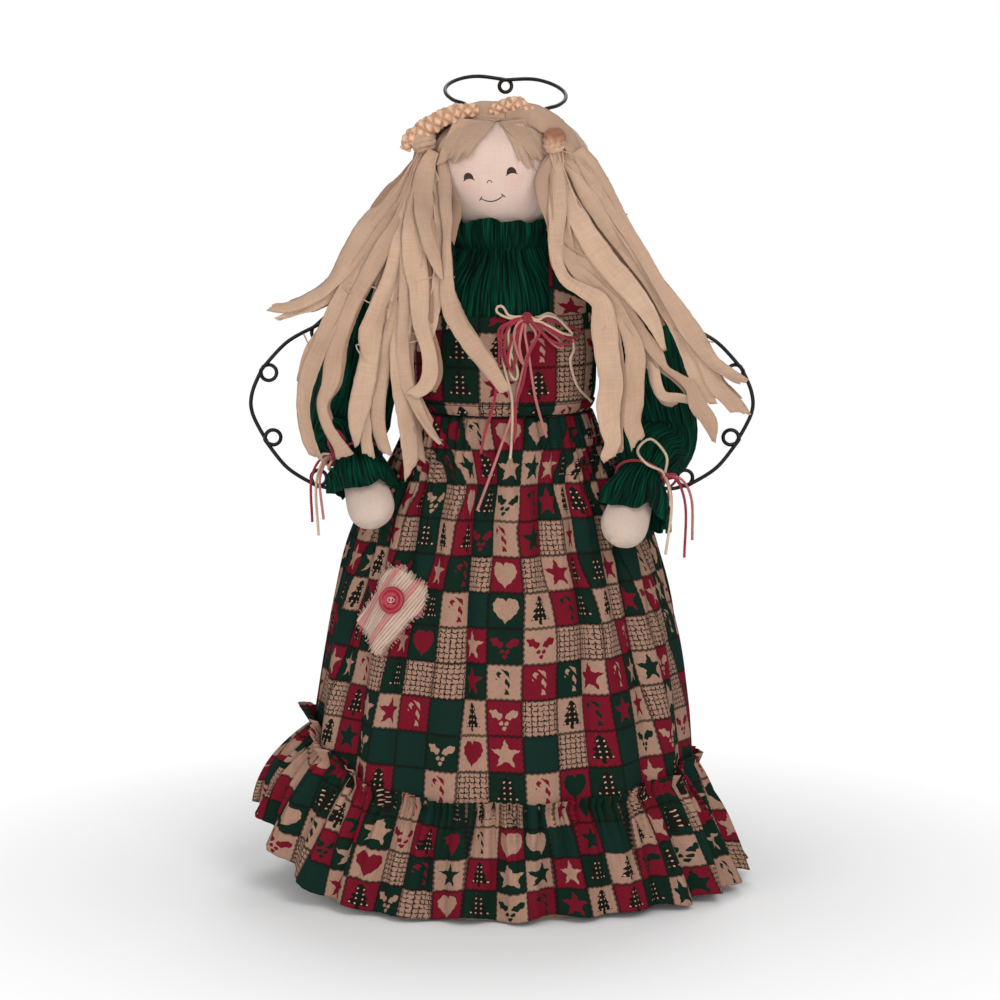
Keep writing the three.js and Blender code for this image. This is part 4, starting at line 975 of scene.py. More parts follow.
HEAD_MIDDLE_Z = HEAD_Z + 0.6 * HEAD_HEIGHT
ROLL_RADIUS, TIE_RADIUS, TIE_BAND, TIE_TURNS, PIGTAIL_ROOT = 6.5, 7, 3, 3, 5.5
STRIP_WIDTH, STRIP_PILE, HAIR_CLEARANCE = 12.5, 1.1, 3
PIGTAILS = {
    "left": {"turns": (-1.15, -1.31), "tilts": (0.62, 1.08), "roll_out": 3.3, "tie_out": 4.1, "tuck": 2.6},
    "right": {"turns": (0.4, 0.73), "tilts": (0.5, 1.0), "roll_out": 2.6, "tie_out": 3, "tuck": 1.4},
}
# Each strand's layer, and the places it passes: across, up and its width there. A layer below 0 marks a
# filler strand behind the others, painted darker as shade.
STRANDS = {
    "left": [
        (2, [
            (-54, 398, 8), (-61, 390, 12), (-73, 374, 13), (-85, 356, 12), (-95, 343, 9), (-108, 335, 7),
            (-118, 332, 6), (-126, 332, 4),
        ]),
        (1, [
            (-56, 390, 8), (-65, 377, 11), (-79, 358, 11), (-88, 343, 8), (-100, 334, 6), (-112, 329, 4),
            (-122, 325, 2),
        ]),
        (3, [
            (-55, 386, 7), (-65, 371, 10), (-76, 355, 10), (-87, 337, 9), (-97, 315, 10), (-105, 295, 10),
            (-108, 279, 8), (-106, 263, 8), (-101, 249, 8),
        ]),
        (4, [
            (-55, 381, 6), (-63, 366, 10), (-74, 348, 9), (-83, 330, 8), (-90, 311, 10), (-93, 292, 10),
            (-98, 279, 6), (-95, 267, 6), (-89, 257, 7), (-85, 250, 10),
        ]),
        (1, [
            (-57, 381, 7), (-69, 363, 8), (-81, 343, 8), (-93, 323, 8), (-103, 307, 9), (-108, 289, 8),
            (-108, 276, 6),
        ]),
        (3, [
            (-53, 381, 6), (-55, 366, 10), (-60, 348, 10), (-67, 332, 11), (-71, 318, 13), (-72, 306, 11),
            (-75, 291, 12), (-78, 273, 11), (-79, 256, 2),
        ]),
        (2, [
            (-51, 383, 6), (-53, 365, 10), (-55, 345, 9), (-59, 326, 9), (-63, 310, 9), (-66, 294, 9),
            (-68, 277, 9), (-67, 263, 8), (-64, 252, 7),
        ]),
        (0, [
            (-53, 378, 7), (-56, 357, 8), (-60, 333, 7), (-66, 307, 7), (-71, 281, 7), (-74, 264, 6),
            (-73, 250, 7),
        ]),
        (4, [
            (-48, 386, 8), (-48, 366, 11), (-50, 343, 10), (-53, 324, 10), (-56, 308, 10), (-55, 288, 11),
            (-52, 272, 11), (-50, 256, 10), (-49, 242, 9),
        ]),
        (5, [
            (-49, 381, 7), (-51, 359, 8), (-52, 334, 8), (-54, 313, 7), (-53, 294, 8), (-48, 282, 7),
            (-42, 270, 6), (-37, 262, 5), (-33, 257, 2),
        ]),
        (6, [
            (-48, 388, 8), (-48, 373, 12), (-47, 357, 13), (-45, 341, 11), (-44, 323, 9), (-40, 308, 8),
            (-39, 297, 9), (-42, 289, 8), (-49, 284, 6),
        ]),
        (8, [
            (-37, 414, 6), (-41, 406, 9), (-43, 396, 11), (-42, 384, 12), (-39, 370, 11), (-36, 357, 7),
            (-33, 348, 2),
        ]),
        (7, [
            (-33, 411, 6), (-32, 400, 8), (-31, 390, 7), (-30, 378, 6), (-30, 368, 5), (-30, 357, 7),
            (-30, 344, 8), (-28, 333, 10), (-22, 320, 10), (-12, 306, 10), (-4, 295, 8), (2, 286, 6),
        ]),
        (4, [
            (-36, 393, 7), (-34, 377, 7), (-34, 360, 8), (-34, 347, 8), (-36, 335, 7), (-38, 324, 6),
            (-39, 315, 2),
        ]),
        (-1, [(-34, 400, 7), (-28, 389, 8), (-26, 382, 8), (-28, 368, 5)]),
        (-1, [(-49, 388, 8), (-57, 370, 12), (-63, 346, 11), (-70, 325, 8), (-73, 313, 4)]),
        (-1, [(-43, 388, 8), (-40, 368, 11), (-38, 343, 9), (-42, 319, 8), (-45, 307, 4)]),
    ],
    "right": [
        (5, [
            (41, 416, 8), (47, 407, 11), (55, 394, 11), (64, 379, 8), (75, 362, 7), (85, 345, 7),
            (96, 329, 10), (106, 314, 11), (114, 303, 8), (122, 297, 7), (131, 291, 7),
        ]),
        (4, [
            (39, 410, 7), (48, 399, 9), (59, 382, 7), (71, 365, 7), (83, 346, 7), (94, 331, 9),
            (103, 316, 10),
            (110, 303, 9), (117, 289, 10), (125, 280, 10), (130, 274, 9),
        ]),
        (3, [
            (38, 405, 6), (46, 392, 9), (55, 378, 8), (67, 362, 7), (79, 346, 6), (88, 331, 6), (95, 318, 6),
            (100, 307, 7), (105, 296, 8), (110, 286, 8), (113, 279, 8),
        ]),
        (6, [
            (34, 397, 6), (38, 386, 10), (45, 373, 12), (54, 360, 13), (66, 346, 13), (76, 334, 11),
            (83, 322, 7), (88, 309, 2),
        ]),
        (4, [
            (33, 392, 6), (35, 375, 8), (41, 361, 10), (51, 348, 8), (64, 334, 8), (75, 318, 8), (84, 307, 7),
            (89, 299, 3), (96, 294, 4), (103, 288, 7), (107, 278, 10), (112, 269, 9), (115, 259, 2),
        ]),
        (2, [
            (33, 386, 6), (38, 367, 8), (48, 349, 8), (61, 330, 7), (74, 314, 7), (81, 302, 7), (84, 290, 7),
            (88, 283, 7), (97, 282, 7), (105, 280, 6),
        ]),
        (7, [
            (30, 397, 10), (30, 383, 10), (29, 369, 8), (30, 357, 7), (35, 347, 7), (45, 341, 8),
            (53, 335, 11), (55, 324, 14), (57, 308, 14), (59, 292, 14), (58, 278, 13), (59, 267, 11),
            (60, 260, 9), (59, 254, 9), (58, 249, 5),
        ]),
        (5, [
            (31, 394, 7), (33, 375, 8), (38, 356, 8), (49, 344, 8), (60, 334, 8), (67, 322, 8), (72, 308, 11),
            (72, 294, 11), (72, 281, 10), (71, 270, 10), (74, 258, 9),
        ]),
        (-1, [(35, 399, 8), (42, 385, 11), (53, 368, 11), (66, 351, 10), (79, 333, 8), (87, 321, 4)]),
        (-1, [(30, 394, 9), (33, 376, 11), (40, 358, 11), (52, 344, 9), (63, 329, 8), (69, 316, 4)]),
        (3, [(22, 401, 8), (23, 389, 7), (27, 377, 6), (28, 365, 6), (30, 355, 6), (35, 346, 4)]),
    ],
}
FLAPS = {
    "left": [((-3.6, -18, 434.5), (-26, -14, 436.5), (-20.5, -30, 408.5), (-35.5, -20, 408.5))],
    "right": [
        ((-1.5, -18, 434.5), (19, -19, 437.5), (18.5, -31, 408), (26, -26, 414)),
        ((0.5, -20, 432), (12, -23, 434), (9.5, -33, 409), (18, -31, 405.5)),
    ],
}
ROLLS = {
    "left": [
        (-14, -11, 440.5), (-19, -12.5, 440.5), (-26, -13.5, 439), (-34, -14, 435.5), (-43, -13, 428.5),
        (-50, -12, 422), (-53, -10.5, 414.5),
    ],
    "right": [(-6, -10, 440), (-1, -11.5, 442), (5, -13, 444), (11, -14.5, 443.5), (17, -17, 440)],
}
COMBED = [
    [(-3, -8, 438), (13, -13, 440), (27, -16, 435), (37, -18, 427), (43, -22, 416), (47, -28, 406)],
    [(2, -14, 438), (17, -20, 438.5), (29, -24, 431), (37, -29, 421), (41, -33, 411)],
    [(-3, 0, 438), (16, -2, 439.5), (31, -5, 433), (39, -9, 423), (45, -13, 412)],
    [(-3, 8, 438), (17, 8, 438.5), (32, 5, 430), (39.5, -4, 419), (41, -16, 410), (40, -25, 404)],
    [(-3, 16, 435), (19, 17, 433.5), (34, 12, 423), (40, 0, 412), (41, -13, 405), (40, -23, 400)],
    [(3, 2, 438), (-18, 3, 440), (-33, 2, 433), (-41, 0, 422), (-45, -3, 411), (-50, -8, 399)],
    [(3, 10, 437.5), (-18, 10, 437.5), (-32, 8, 429), (-40, 3, 419), (-43, -4, 410)],
    [(3, 18, 434), (-19, 18, 432.5), (-33, 14, 422), (-40, 7, 412), (-43, -1, 404)],
    [(-22, -6, 438.5), (-11, -8, 440), (0, -9.5, 440.5), (12, -11, 440), (21, -14, 436.5)],
]
wrist_fronts = [arm_places(way, POSES[hand])[2][1] - TIE_OUT for hand, way in SIDES.items()]
HAIR_Y = min(*wrist_fronts, -(TORSO_HALVES[1] + JUMPER_OUT + 2 * KNOT_RADIUS + CLOTH)) - HAIR_CLEARANCE


def over_crown(turn, tilt, out):
    """A point over the crown, by its turn round the head and its tilt from upright."""
    halves = [np.sin(tilt) * (half + out) for half in head_at(HEAD_MIDDLE_Z)]
    return around(halves, turn, HEAD_MIDDLE_Z + (CROWN_Z - HEAD_MIDDLE_Z + out) * np.cos(tilt))


def joined(name, sheets, material, body, thick=0.5):
    """Several ribbons as one piece: each is a grid of points with its cloth coordinates."""
    points, places, faces, start = [], [], [], 0
    for grid, uv in sheets:
        rows, columns = grid.shape[0] - 1, grid.shape[1] - 1
        points.append(grid.reshape(-1, 3))
        places.append(uv.reshape(-1, 2))
        faces.append(quads(columns, rows)[0] + start)
        start += grid.shape[0] * grid.shape[1]
    points, faces, places = (np.concatenate(rows) for rows in (points, faces, places))
    return thicken(piece(name, points, faces, material, body, places), thick)


def ribbon(line, width, seed, cup, lean, face, cut=6.0):
    """A torn strip along a line, cupped across and turned about it; face is where its flat side looks."""
    ahead = along(line)
    across = unit(np.cross(ahead, face))
    front = np.cross(across, ahead)
    far = lengths(line)
    share = (far / far[-1])[:, None, None]
    angle = (lean * step(0.05, 0.5, far / far[-1]) + 0.5 * noise(far / 34, 0, seed))[:, None]
    cos, sin = np.cos(angle), np.sin(angle)
    across, front = across * cos + front * sin, front * cos - across * sin
    u = np.linspace(-1, 1, 9)[None, :, None]
    edge = np.sign(u[..., 0]) * 5
    down = far[:, None]
    fray = 0.04 * noise(down / 1.7, edge, seed + 1) + 0.06 * noise(down / 9, edge, seed + 4)
    torn = 1 + fray[..., None]
    half = np.broadcast_to(np.asarray(width, float), far.shape)[:, None, None] / 2
    bow = (np.asarray(cup) * np.ones(len(far)))[:, None, None] * (u * u - 0.3)
    ripple = 0.6 * noise(down / 11, u[..., 0] * 1.2, seed + 2)[..., None]
    grid = line[:, None] + across[:, None] * half * u * torn + front[:, None] * (bow + ripple)
    slant = ahead[:, None] * u * half * cut / 6 * noise(seed, 3.7, seed) * step(0.75, 1, share)
    ragged = ahead[:, None] * 0.9 * noise(u * 7, seed, 5) * step(0.97, 1, share)
    # The seed picks the strip's tone in the muslin; a negative seed puts u below 0, where the strip is
    # painted darker as shade
    uv = together(u[..., 0] * half[..., 0] + seed * STRIP_APART, -down)
    return grid + slant + ragged, uv


def cap():
    over = CROWN_Z + 3.3 - 11 * np.linspace(1, 0, 26) ** 1.6
    z = np.concatenate([np.linspace(392, 430, 40), over])[:, None]
    level = np.minimum(z, CROWN_Z - 0.05)
    halves = head_at(level)
    open_to = np.arccos(np.clip((17 - 6 * step(420, 400, z)) / (halves[1] + 2.5), -1, 1))
    share = np.linspace(0, 1, 241)[None]
    turn = lerp(open_to, math.tau - open_to, share)
    shrink = np.where(z > CROWN_Z, 0.9 - 0.25 * (z - CROWN_Z), 1.0)
    out = 2.6 + 0.7 * pleats(turn * 34, z * 0.4, 7.5, 71)
    points = settle(around([half * shrink for half in halves], turn, z, out * np.minimum(shrink + 0.2, 1)))
    uv = together(turn * 34, z)
    obj = cloth("hair_cloth", points, HAIR, "doll", uv, thick=0.6)
    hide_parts("hair_cap")


def bang(name, flaps):
    sheets = []
    for k, (top, far_top, low, far_low) in enumerate(np.array(flaps, float)):
        u, v = np.linspace(0, 1, 33)[None, :, None], np.linspace(0, 1, 40)[:, None, None]
        drawn = step(0.72, 1, v)
        ragged = 1 + 0.1 * drawn * noise(u * 5, k, 3)
        points = lerp(lerp(top, far_top, u), lerp(low, far_low, u), v * ragged)
        crest = 1.6 * np.sin(math.pi * u) * np.sin(math.pi * np.clip(v, 0.02, 0.98))
        gather = 1.3 if name == "left" else 0.3
        tucks = gather * drawn * np.sin(u * 22 + 1.5 * noise(u * 4, v * 2, 8)) + 0.5 * noise(u * 5, v * 6, 9)
        x, y, z = np.moveaxis(points, -1, 0)
        clear = front_of(head_at(np.minimum(z, CROWN_Z - 0.5)), x, 2.8 - 1.7 * k + (tucks + crest)[..., 0])
        y = np.where(z < CROWN_Z - 3, np.minimum(y, clear), y - (crest + 0.5 * tucks)[..., 0])
        uv = np.concatenate(np.broadcast_arrays(u * 24 + 60 * k, -v * 31), -1)
        sheets.append((settle(np.stack([x, y, z], -1)), uv))
    obj = joined(f"bang_cloth_{name}", sheets, HAIR, "doll", 0.7)
    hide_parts(f"bang_{name}")


def combed():
    """Strips laid from the part over the crown to the ties."""
    sheets = []
    for k, rows in enumerate(COMBED):
        line = settle(resample(route(rows, 10), 60))
        middle = np.array([0, 0, HEAD_MIDDLE_Z])
        face = unit(line - middle + np.array([0, -25, 0]) * step(8, -12, line[:, 1:2]))
        far = lengths(line) / lengths(line)[-1]
        width = 13.5 * lerp(0.55, 1, np.sin(math.pi * np.clip(far, 0.05, 0.95)))
        sheets.append(ribbon(line, width, 11 + k, -1.6, 0.0, face, 2.0))
    obj = joined("hair_strips", sheets, HAIR, "doll", 0.6)


def roll(name):
    line = settle(resample(route(ROLLS[name], 14), 130))
    far = lengths(line)
    share = far / far[-1]
    thick = (4.2, 5.4, 3.9) if name == "left" else (3.4, 4.2, 3.4)
    ends = 0.6 + 0.4 * np.sin(math.pi * np.clip(share, 0.04, 0.96)) ** 0.3
    radius = smooth([(0, thick[0]), (0.5, thick[1]), (1, thick[2])], share) * ends
    radius = radius * (1 + 0.07 * noise(far / 4, 0.5, 13))
    turn = np.linspace(0, math.tau, 49)[None]
    ways = [3 * turn / math.tau + way * far[:, None] / 5.6 for way in (-1, 1)]
    knobs = 0.3 * (np.abs(np.sin(math.pi * ways[0]) * np.sin(math.pi * ways[1])) ** 0.6 - 0.5)
    knobs = knobs[:, :-1] + 0.14 * noise(turn[:, :-1] * 2.4, far[:, None] / 2.6, 14)
    rings = tube(line, radius, 48)
    rings = line[:, None] + (rings - line[:, None]) * (0.92 + knobs[..., None])
    uv = together(*ways)
    obj = capped(f"roll_cloth_{name}", rings, BRAID, "doll", uv)
    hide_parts(f"hair_roll_{name}")


def tie_seat(style):
    end = over_crown(style["turns"][1], style["tilts"][1], style["roll_out"] + ROLL_RADIUS)
    top = end[2] - ROLL_RADIUS * 0.7 + style["tuck"]
    middle = top - TIE_TURNS * TIE_BAND / 2
    seat = around(head_at(middle), style["turns"][1], middle, style["tie_out"] + FIT + TIE_RADIUS)
    return seat, top


def wound_tie(name, style):
    seat, top = tie_seat(style)
    turn = np.linspace(0, math.tau, 60, endpoint=False)[None]
    tall = TIE_TURNS * TIE_BAND + 5
    drop = np.linspace(0, tall, 60)[:, None]
    wrap = np.abs(np.sin(math.pi * (drop / 3.4 + 0.55 * np.sin(turn + 0.9) + 0.2 * noise(turn * 2, 0, 3))))
    radius = TIE_RADIUS if name == "left" else TIE_RADIUS - 0.8
    size = radius * (0.86 + 0.2 * wrap**0.5) + 0.3 * noise(turn * 4, drop / 2, 6)
    size = size * np.sqrt(np.clip(1 - ((drop / tall - 0.5) / 0.53) ** 2, 0.05, 1)) ** 0.8
    rings = together(seat[0] + size * np.cos(turn), seat[1] + size * np.sin(turn), top + 2 - drop)
    uv = together(np.linspace(0, math.tau, 61)[None] * TIE_RADIUS, drop)
    obj = capped(f"tie_cloth_{name}", rings, HAIR if name == "left" else SHADED, "doll", uv)
    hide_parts(f"pigtail_tie_{name}")


def pigtail(name, style):
    seat, top = tie_seat(style)
    root = np.array([seat[0], seat[1], top - TIE_TURNS * TIE_BAND - FIT - PIGTAIL_ROOT])
    sheets, total = [], 0.0
    for k, (layer, rows) in enumerate(STRANDS[name]):
        for twin in range(2):
            seed = 5 * k + 3 + (90 if name == "right" else 0)
            sway = np.array([4 * noise(seed, 0.3, 1), 0, 3 * noise(seed, 0.9, 3)]) * twin
            points = []
            if rows[0][1] < root[2]:
                spread = [2.6 * noise(seed, 1.7, 4), 2 * noise(seed, 2.3, 5) + 2 * twin, 3.5]
                points.append(root + np.array(spread))
            for x, z, _ in rows:
                drop = root[2] - z
                y = lerp(root[1], HAIR_Y, step(0, 45, drop)) - layer * STRIP_PILE + 2.6 * twin
                points.append(np.array([x, y, z]) + sway * step(10, 60, drop))
            line = route(points, 12)
            widths = np.array([5.0, *(row[2] for row in rows)])[-len(points) :] * (1 - 0.15 * twin)
            table = np.stack([lengths(line)[::12], widths], 1)
            if twin:
                line = line[: int(len(line) * (0.86 + 0.1 * noise(seed, 7.1, 8)))]
            line = resample(line, 80)
            far = lengths(line)
            width = smooth(table, far)
            cup = lerp(2.4, 1.8 * noise(seed, 5.5, 7), step(0, 50, far)) * (1 if k % 2 else -1)
            # The back twin of each strand and the filler strands get a negative seed, so the muslin paints
            # them darker as shade
            shade_signed_seed = -seed if twin or layer < 0 else seed
            sheets.append(ribbon(line, width, shade_signed_seed, cup, 0.5 * noise(seed, 8.3, 2), (0, -1, 0), 9.0))
            total += float(np.mean(width)) * far[-1]
        at = line[int(45 + 25 * noise(k, 2.9, 3))]
        drift = [
            (noise(k, t, 5) * 4 * t, -0.6 * t, (noise(k, t, 6) - 0.7) * 3 * t)
            for t in range(5)
        ]
        sheets.append(ribbon(resample(route(at + np.array(drift), 8), 24), 0.5, 5 * k, 0, 0, (0, -1, 0)))
    obj = joined(f"pigtail_cloth_{name}", sheets, HAIR, None, 0.5)
    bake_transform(obj)
    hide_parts(f"pigtail_{name}")


cap()
combed()
for hand, way in SIDES.items():
    bang(hand, FLAPS[hand])
    roll(hand)
    wound_tie(hand, PIGTAILS[hand])
    pigtail(hand, PIGTAILS[hand])

# Patch, button and its thread

PATCH_OUT = CLOTH + LAYER_GAP
BUTTON_ALONG, BUTTON_FIT = 6, 0.6


def patch_point(across, far, out):
    z = PATCH_Z + far * math.cos(PATCH_TURN) - across * math.sin(PATCH_TURN)
    x = across * math.cos(PATCH_TURN) + far * math.sin(PATCH_TURN)
    wide, deep = skirt_at(PATCH_Z)
    per_radian = math.hypot(wide * math.cos(PATCH_ANGLE), deep * math.sin(PATCH_ANGLE))
    angle = PATCH_ANGLE + x / per_radian
    return around(skirt_at(z), angle, z, skirt_fold(angle, z) + out)


def patch_place(u, v):
    """A place on the patch, whose torn outline is at -1 and 1 both ways."""
    u, v = np.broadcast_arrays(np.asarray(u, float), np.asarray(v, float))
    side, end = np.sign(u), np.sign(v)
    wide = 1 + 0.04 * noise(v * 7, side, 5) + 0.12 * noise(v * 1.7, side, 15) - 0.22 * step(0.5, 1, v)
    tall = 1 + 0.03 * noise(u * 6, end, 6) + 0.06 * noise(u * 1.6, end, 16)
    return u * PATCH_SIZE[0] / 2 * wide, v * PATCH_SIZE[1] / 2 * tall


def patch():
    u, v = np.linspace(-1, 1, 57)[None], np.linspace(-1, 1, 83)[:, None]
    x, y = patch_place(u, v)
    lift = PATCH_OUT + 0.6 * noise(x / 9, y / 9, 8) + 0.5 * noise(x / 2.6, y / 14, 18)
    lift = lift + 1.6 * np.abs(u * v) ** 4
    obj = cloth("patch_cloth", patch_point(x, y, lift), STRIPE, "doll", np.stack([x, y], -1))
    threads = []
    for side in (-1, 1):
        for k, t in enumerate(np.linspace(-1, 1, 70)):
            for wide in (True, False):
                edge = patch_place(t, side * 0.98) if wide else patch_place(side * 0.98, t)
                reach = 2.2 + 1.6 * noise(k * 1.7, side + 2 * wide, 9)
                bend = 0.9 * noise(k * 2.3, side, 10)
                far = np.linspace(0, 1, 5)[:, None]
                ahead = side * reach * far
                beside = bend * far**2 + np.array([[-0.17, 0.17]])
                a = edge[0] + (beside if wide else ahead + 0 * beside)
                b = edge[1] + (ahead + 0 * beside if wide else beside)
                grid = patch_point(a, b, PATCH_OUT + 0.4 + 0.8 * noise(k, side, 11) * far + 0 * beside)
                threads.append((grid, together(a, b)))
    fringe = joined("patch_fringe", threads, STRIPE, "doll", 0.3)
    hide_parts("patch")


def glossy(name, base, deep):
    """Moulded plastic with faint clouds in its colour."""
    p = Paint(name, 0.3, Specular_IOR_Level=0.4)
    clouds = p.grain(3.5, 3.5, 3)
    p.colour(p.mix(deep, base, clouds))
    p.bump(p.grain(0.8, 0.8) + clouds * 2, 0.05)
    return p.material


def spun(name, base, deep):
    """Soft yarn: fibres laid round the twist."""
    p = Paint(name, 0.9, Sheen_Weight=0.12, Sheen_Roughness=0.5)
    fibres = p.grain(0.25, 2.2, 3)
    p.colour(p.mix(deep, base, fibres * 1.1 + p.grain(4, 11) * 0.4))
    p.bump(fibres + p.grain(0.6, 0.6) * 0.7, 0.35)
    return p.material


def drawn_wire(name):
    """Blackened iron wire with draw marks and worn spots."""
    p = Paint(name, 0.42, Metallic=0.85)
    marks = p.grain(0.35, 12, 3)
    p.colour(p.mix(linear(14, 13, 13), linear(52, 48, 46), p.grain(5, 7, 3) * 0.6 + marks * 0.3))
    p.bump(marks, 0.06)
    return p.material


WINE_YARN = spun("wine_yarn", linear(150, 20, 44), linear(70, 8, 20))
RED_YARN = spun("red_yarn", linear(170, 30, 56), linear(100, 10, 28))
CREAM_YARN = spun("cream_yarn", linear(214, 186, 158), linear(160, 128, 102))
PINK_YARN = spun("pink_yarn", linear(196, 120, 112), linear(140, 62, 64))
IRON = drawn_wire("black_wire")
PLASTIC = glossy("button_plastic", linear(160, 6, 40), linear(122, 2, 26))

button_seat = patch_point(0, BUTTON_ALONG, PATCH_OUT)
patch_ways = [
    patch_point(x, BUTTON_ALONG + y, PATCH_OUT) - button_seat for x, y in ((1, 0), (0, 1))
]
patch_normal = unit(np.cross(*patch_ways))
patch_side = unit(np.cross([0, 0, 1.0], patch_normal))
patch_up = np.cross(patch_normal, patch_side)


def on_button(x, y, height):
    rise = CLOTH / 2 + BUTTON_FIT + height
    place = button_seat
    for far, way in ((x, patch_side), (y, patch_up), (rise, patch_normal)):
        place = place + np.asarray(far)[..., None] * way
    return place


def button():
    rows = [
        (2, 0), (6.2, 0.0), (7.1, 0.5), (7.5, 1.3), (7.2, 2.2), (6.4, 2.6), (5.4, 2.4), (4.6, 1.7),
        (2.5, 1.45), (0.8, 1.4),
    ]
    profile = route([(r, h, 0) for r, h in rows], 5)
    turn = np.linspace(0, math.tau, 64, endpoint=False)[None]
    radius, height = profile[:, :1] + 0 * turn, profile[:, 1:2] + 0 * turn
    x, y = radius * np.cos(turn), radius * np.sin(turn)
    for k in range(4):
        hole = math.pi / 4 + k * math.pi / 2
        gap = np.hypot(x - 1.7 * math.cos(hole), y - 1.7 * math.sin(hole))
        height = height - 0.8 * (1 - step(0.45, 0.85, gap)) * (height > 1.2) * (radius < 5)
    rings = on_button(x, y, height)
    uv = np.stack(np.meshgrid(np.linspace(0, 40, 65), lengths(profile)), -1)
    obj = capped("button_disc", rings, PLASTIC, "doll", uv)
    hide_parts("button")


def button_thread():
    t = np.linspace(0, 1, 40)
    turn = math.tau * t * 2
    x, y = 1.75 * np.cos(turn) * np.cos(turn * 0.5), 1.5 * np.sin(turn)
    line = on_button(x, y, 1.7 + 0.8 * np.sin(math.pi * t))
    pale = spun("pale_thread", linear(222, 162, 164), linear(180, 112, 118))
    obj = capped("button_stitch", tube(line, 0.38, 9, 2, 1.6), pale, "doll")
    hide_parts("button_thread")


patch()
button()
button_thread()

# Wire wings and halo, and the casings that hold them

CURL_RADIUS, CASING_WALL, WING_ROOT_X, WING_TURN_GAP = 4.4, 1.4, 14, 1
CASING_RADIUS = WIRE / 2 + FIT + CASING_WALL
TURN_STEP = WIRE + WING_TURN_GAP
HALO_HALVES, HALO_RISE, HALO_LEG_X, HALO_BAR_DROP, HALO_LIFT = (34, 25), 5, 20, 44, 3
HALO_MIDDLE_X, HALO_NEAR, HALO_CURL_RADIUS, HALO_CASING = 2, 2.45, 3.5, 28
WING_CENTRE = (88, 2)
WING = [
    (24, 56), (48, 58), (74, 57), (92, 52), (106, 41, "curl"), (122, 32), (136, 17, "curl"), (142, 3),
    (142, -9), (134, -25, "curl"), (122, -40), (106, -50, "curl"), (92, -52), (66, -40), (40, -19),
    (WING_ROOT_X + 5, -2),
]
bib_middle = blouse_at(BIB_Z + BIB_HEIGHT / 2)
bib_back = -float(front_of(bib_middle, WING_ROOT_X - CASING_RADIUS, JUMPER_OUT + CLOTH / 2))
WING_Y = bib_back + FIT + CASING_RADIUS


def curl(at, ahead, inside, aside, radius):
    turn = np.linspace(0, math.tau, 17)[:, None]
    loop = at + inside * radius * (1 - np.cos(turn)) + ahead * radius * np.sin(turn)
    return loop + aside * (turn / math.tau - 0.5)


def wing(name, side):
    heights = [BIB_Z + t * (BIB_HEIGHT + WIRE) for t in (0, 0.25, 0.5, 0.75, 1)]
    rows = [np.array([side * WING_ROOT_X, WING_Y, z]) for z in heights]
    rows.append(np.array([side * (WING_ROOT_X + 2), WING_Y, BIB_TOP_Z + 3 * WIRE]))
    turn = 1
    for i, (x, z, *mark) in enumerate(WING):
        at = np.array([side * x, WING_Y, WAIST_Z + z])
        if not mark:
            rows.append(at + np.array([0, turn * TURN_STEP / 2, 0]))
            continue
        before, after = WING[i - 1], WING[i + 1]
        ahead = unit(np.array([side * (after[0] - before[0]), 0, after[1] - before[1]], float))
        inside = np.array([side * WING_CENTRE[0], WING_Y, WAIST_Z + WING_CENTRE[1]]) - at
        inside = unit(inside - ahead * (inside @ ahead))
        rows += list(curl(at, ahead, inside, np.array([0, -turn * TURN_STEP, 0]), CURL_RADIUS))
        turn = -turn
    line = resample(route(rows, 8), 420)
    obj = capped(f"wing_{name}_frame", tube(line, WIRE / 2), IRON, f"wing_{name}")
    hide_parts(f"wing_wire_{name}")


def casing(name, start, end, material, slot):
    """A channel of cloth sewn round a wire."""
    line = np.linspace(start, end, 30)
    turn = np.linspace(0, math.tau, 25)[None]
    far = lengths(line)[:, None]
    size = WIRE / 2 + FIT + 0.9 + 0.3 * noise(turn * 2, far / 4, 3) + 0.25 * np.cos(far * 1.6)
    ahead = along(line)
    side = unit(np.cross(ahead, [0, 1.0, 0]))
    other = np.cross(ahead, side)
    x, y = (size * np.cos(turn))[..., None], (size * np.sin(turn))[..., None]
    points = line[:, None] + side[:, None] * x + other[:, None] * y
    obj = cloth(name.replace("casing", "channel"), points, material, "doll", ring=True, thick=0.6)
    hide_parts(name)


def halo():
    bar_z = CROWN_Z - HALO_BAR_DROP
    bar_y = float(head_at(bar_z)[1]) + LAYER_GAP + 3.4 + FIT + CASING_RADIUS
    ring_z, ring_y = CROWN_Z + HALO_LIFT, bar_y + HALO_HALVES[1] * 0.35

    def ring(turn):
        dip = 2.8 * math.exp(-((turn / 0.35) ** 2))
        height = ring_z + 1.5 + (HALO_RISE + 4) * math.cos(turn) - 1.8 * math.sin(turn) - dip
        x, y = HALO_MIDDLE_X + HALO_HALVES[0] * math.sin(turn), ring_y + HALO_HALVES[1] * math.cos(turn)
        return np.array([x, y, height])

    def leg(side):
        heights = bar_z + 1.5 * WIRE, lerp(bar_z, ring_z, 0.4), lerp(bar_z, ring_z, 0.75)
        return [np.array([side * HALO_LEG_X, bar_y, z]) for z in heights]

    shares = [share * HALO_NEAR for share in (1, 0.86, 0.72, 0.58, 0.44, 0.3, 0.17)]
    bar = [np.array([t * HALO_LEG_X, bar_y, bar_z]) for t in (-0.85, -0.4, 0, 0.4, 0.85)]
    down = np.array([0, 0, -1.0])
    loop = list(curl(ring(0), np.array([-1.0, 0, 0]), down, np.array([0, TURN_STEP, 0]), HALO_CURL_RADIUS))
    left = [*leg(-1), *[ring(-t) for t in shares]][::-1]
    foot = leg(-1)[0]
    stops = [foot - 0.5 * WIRE * down, foot, *bar, *leg(1), *[ring(t) for t in shares], *loop, *left]
    line = resample(route(stops, 8), 300)
    obj = capped("halo_ring", tube(line, WIRE / 2), IRON, "halo")
    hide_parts("halo_wire")
    ends = [np.array([side * HALO_CASING / 2, bar_y, bar_z]) for side in (-1, 1)]
    casing("halo_casing", *ends, HAIR, "muslin")


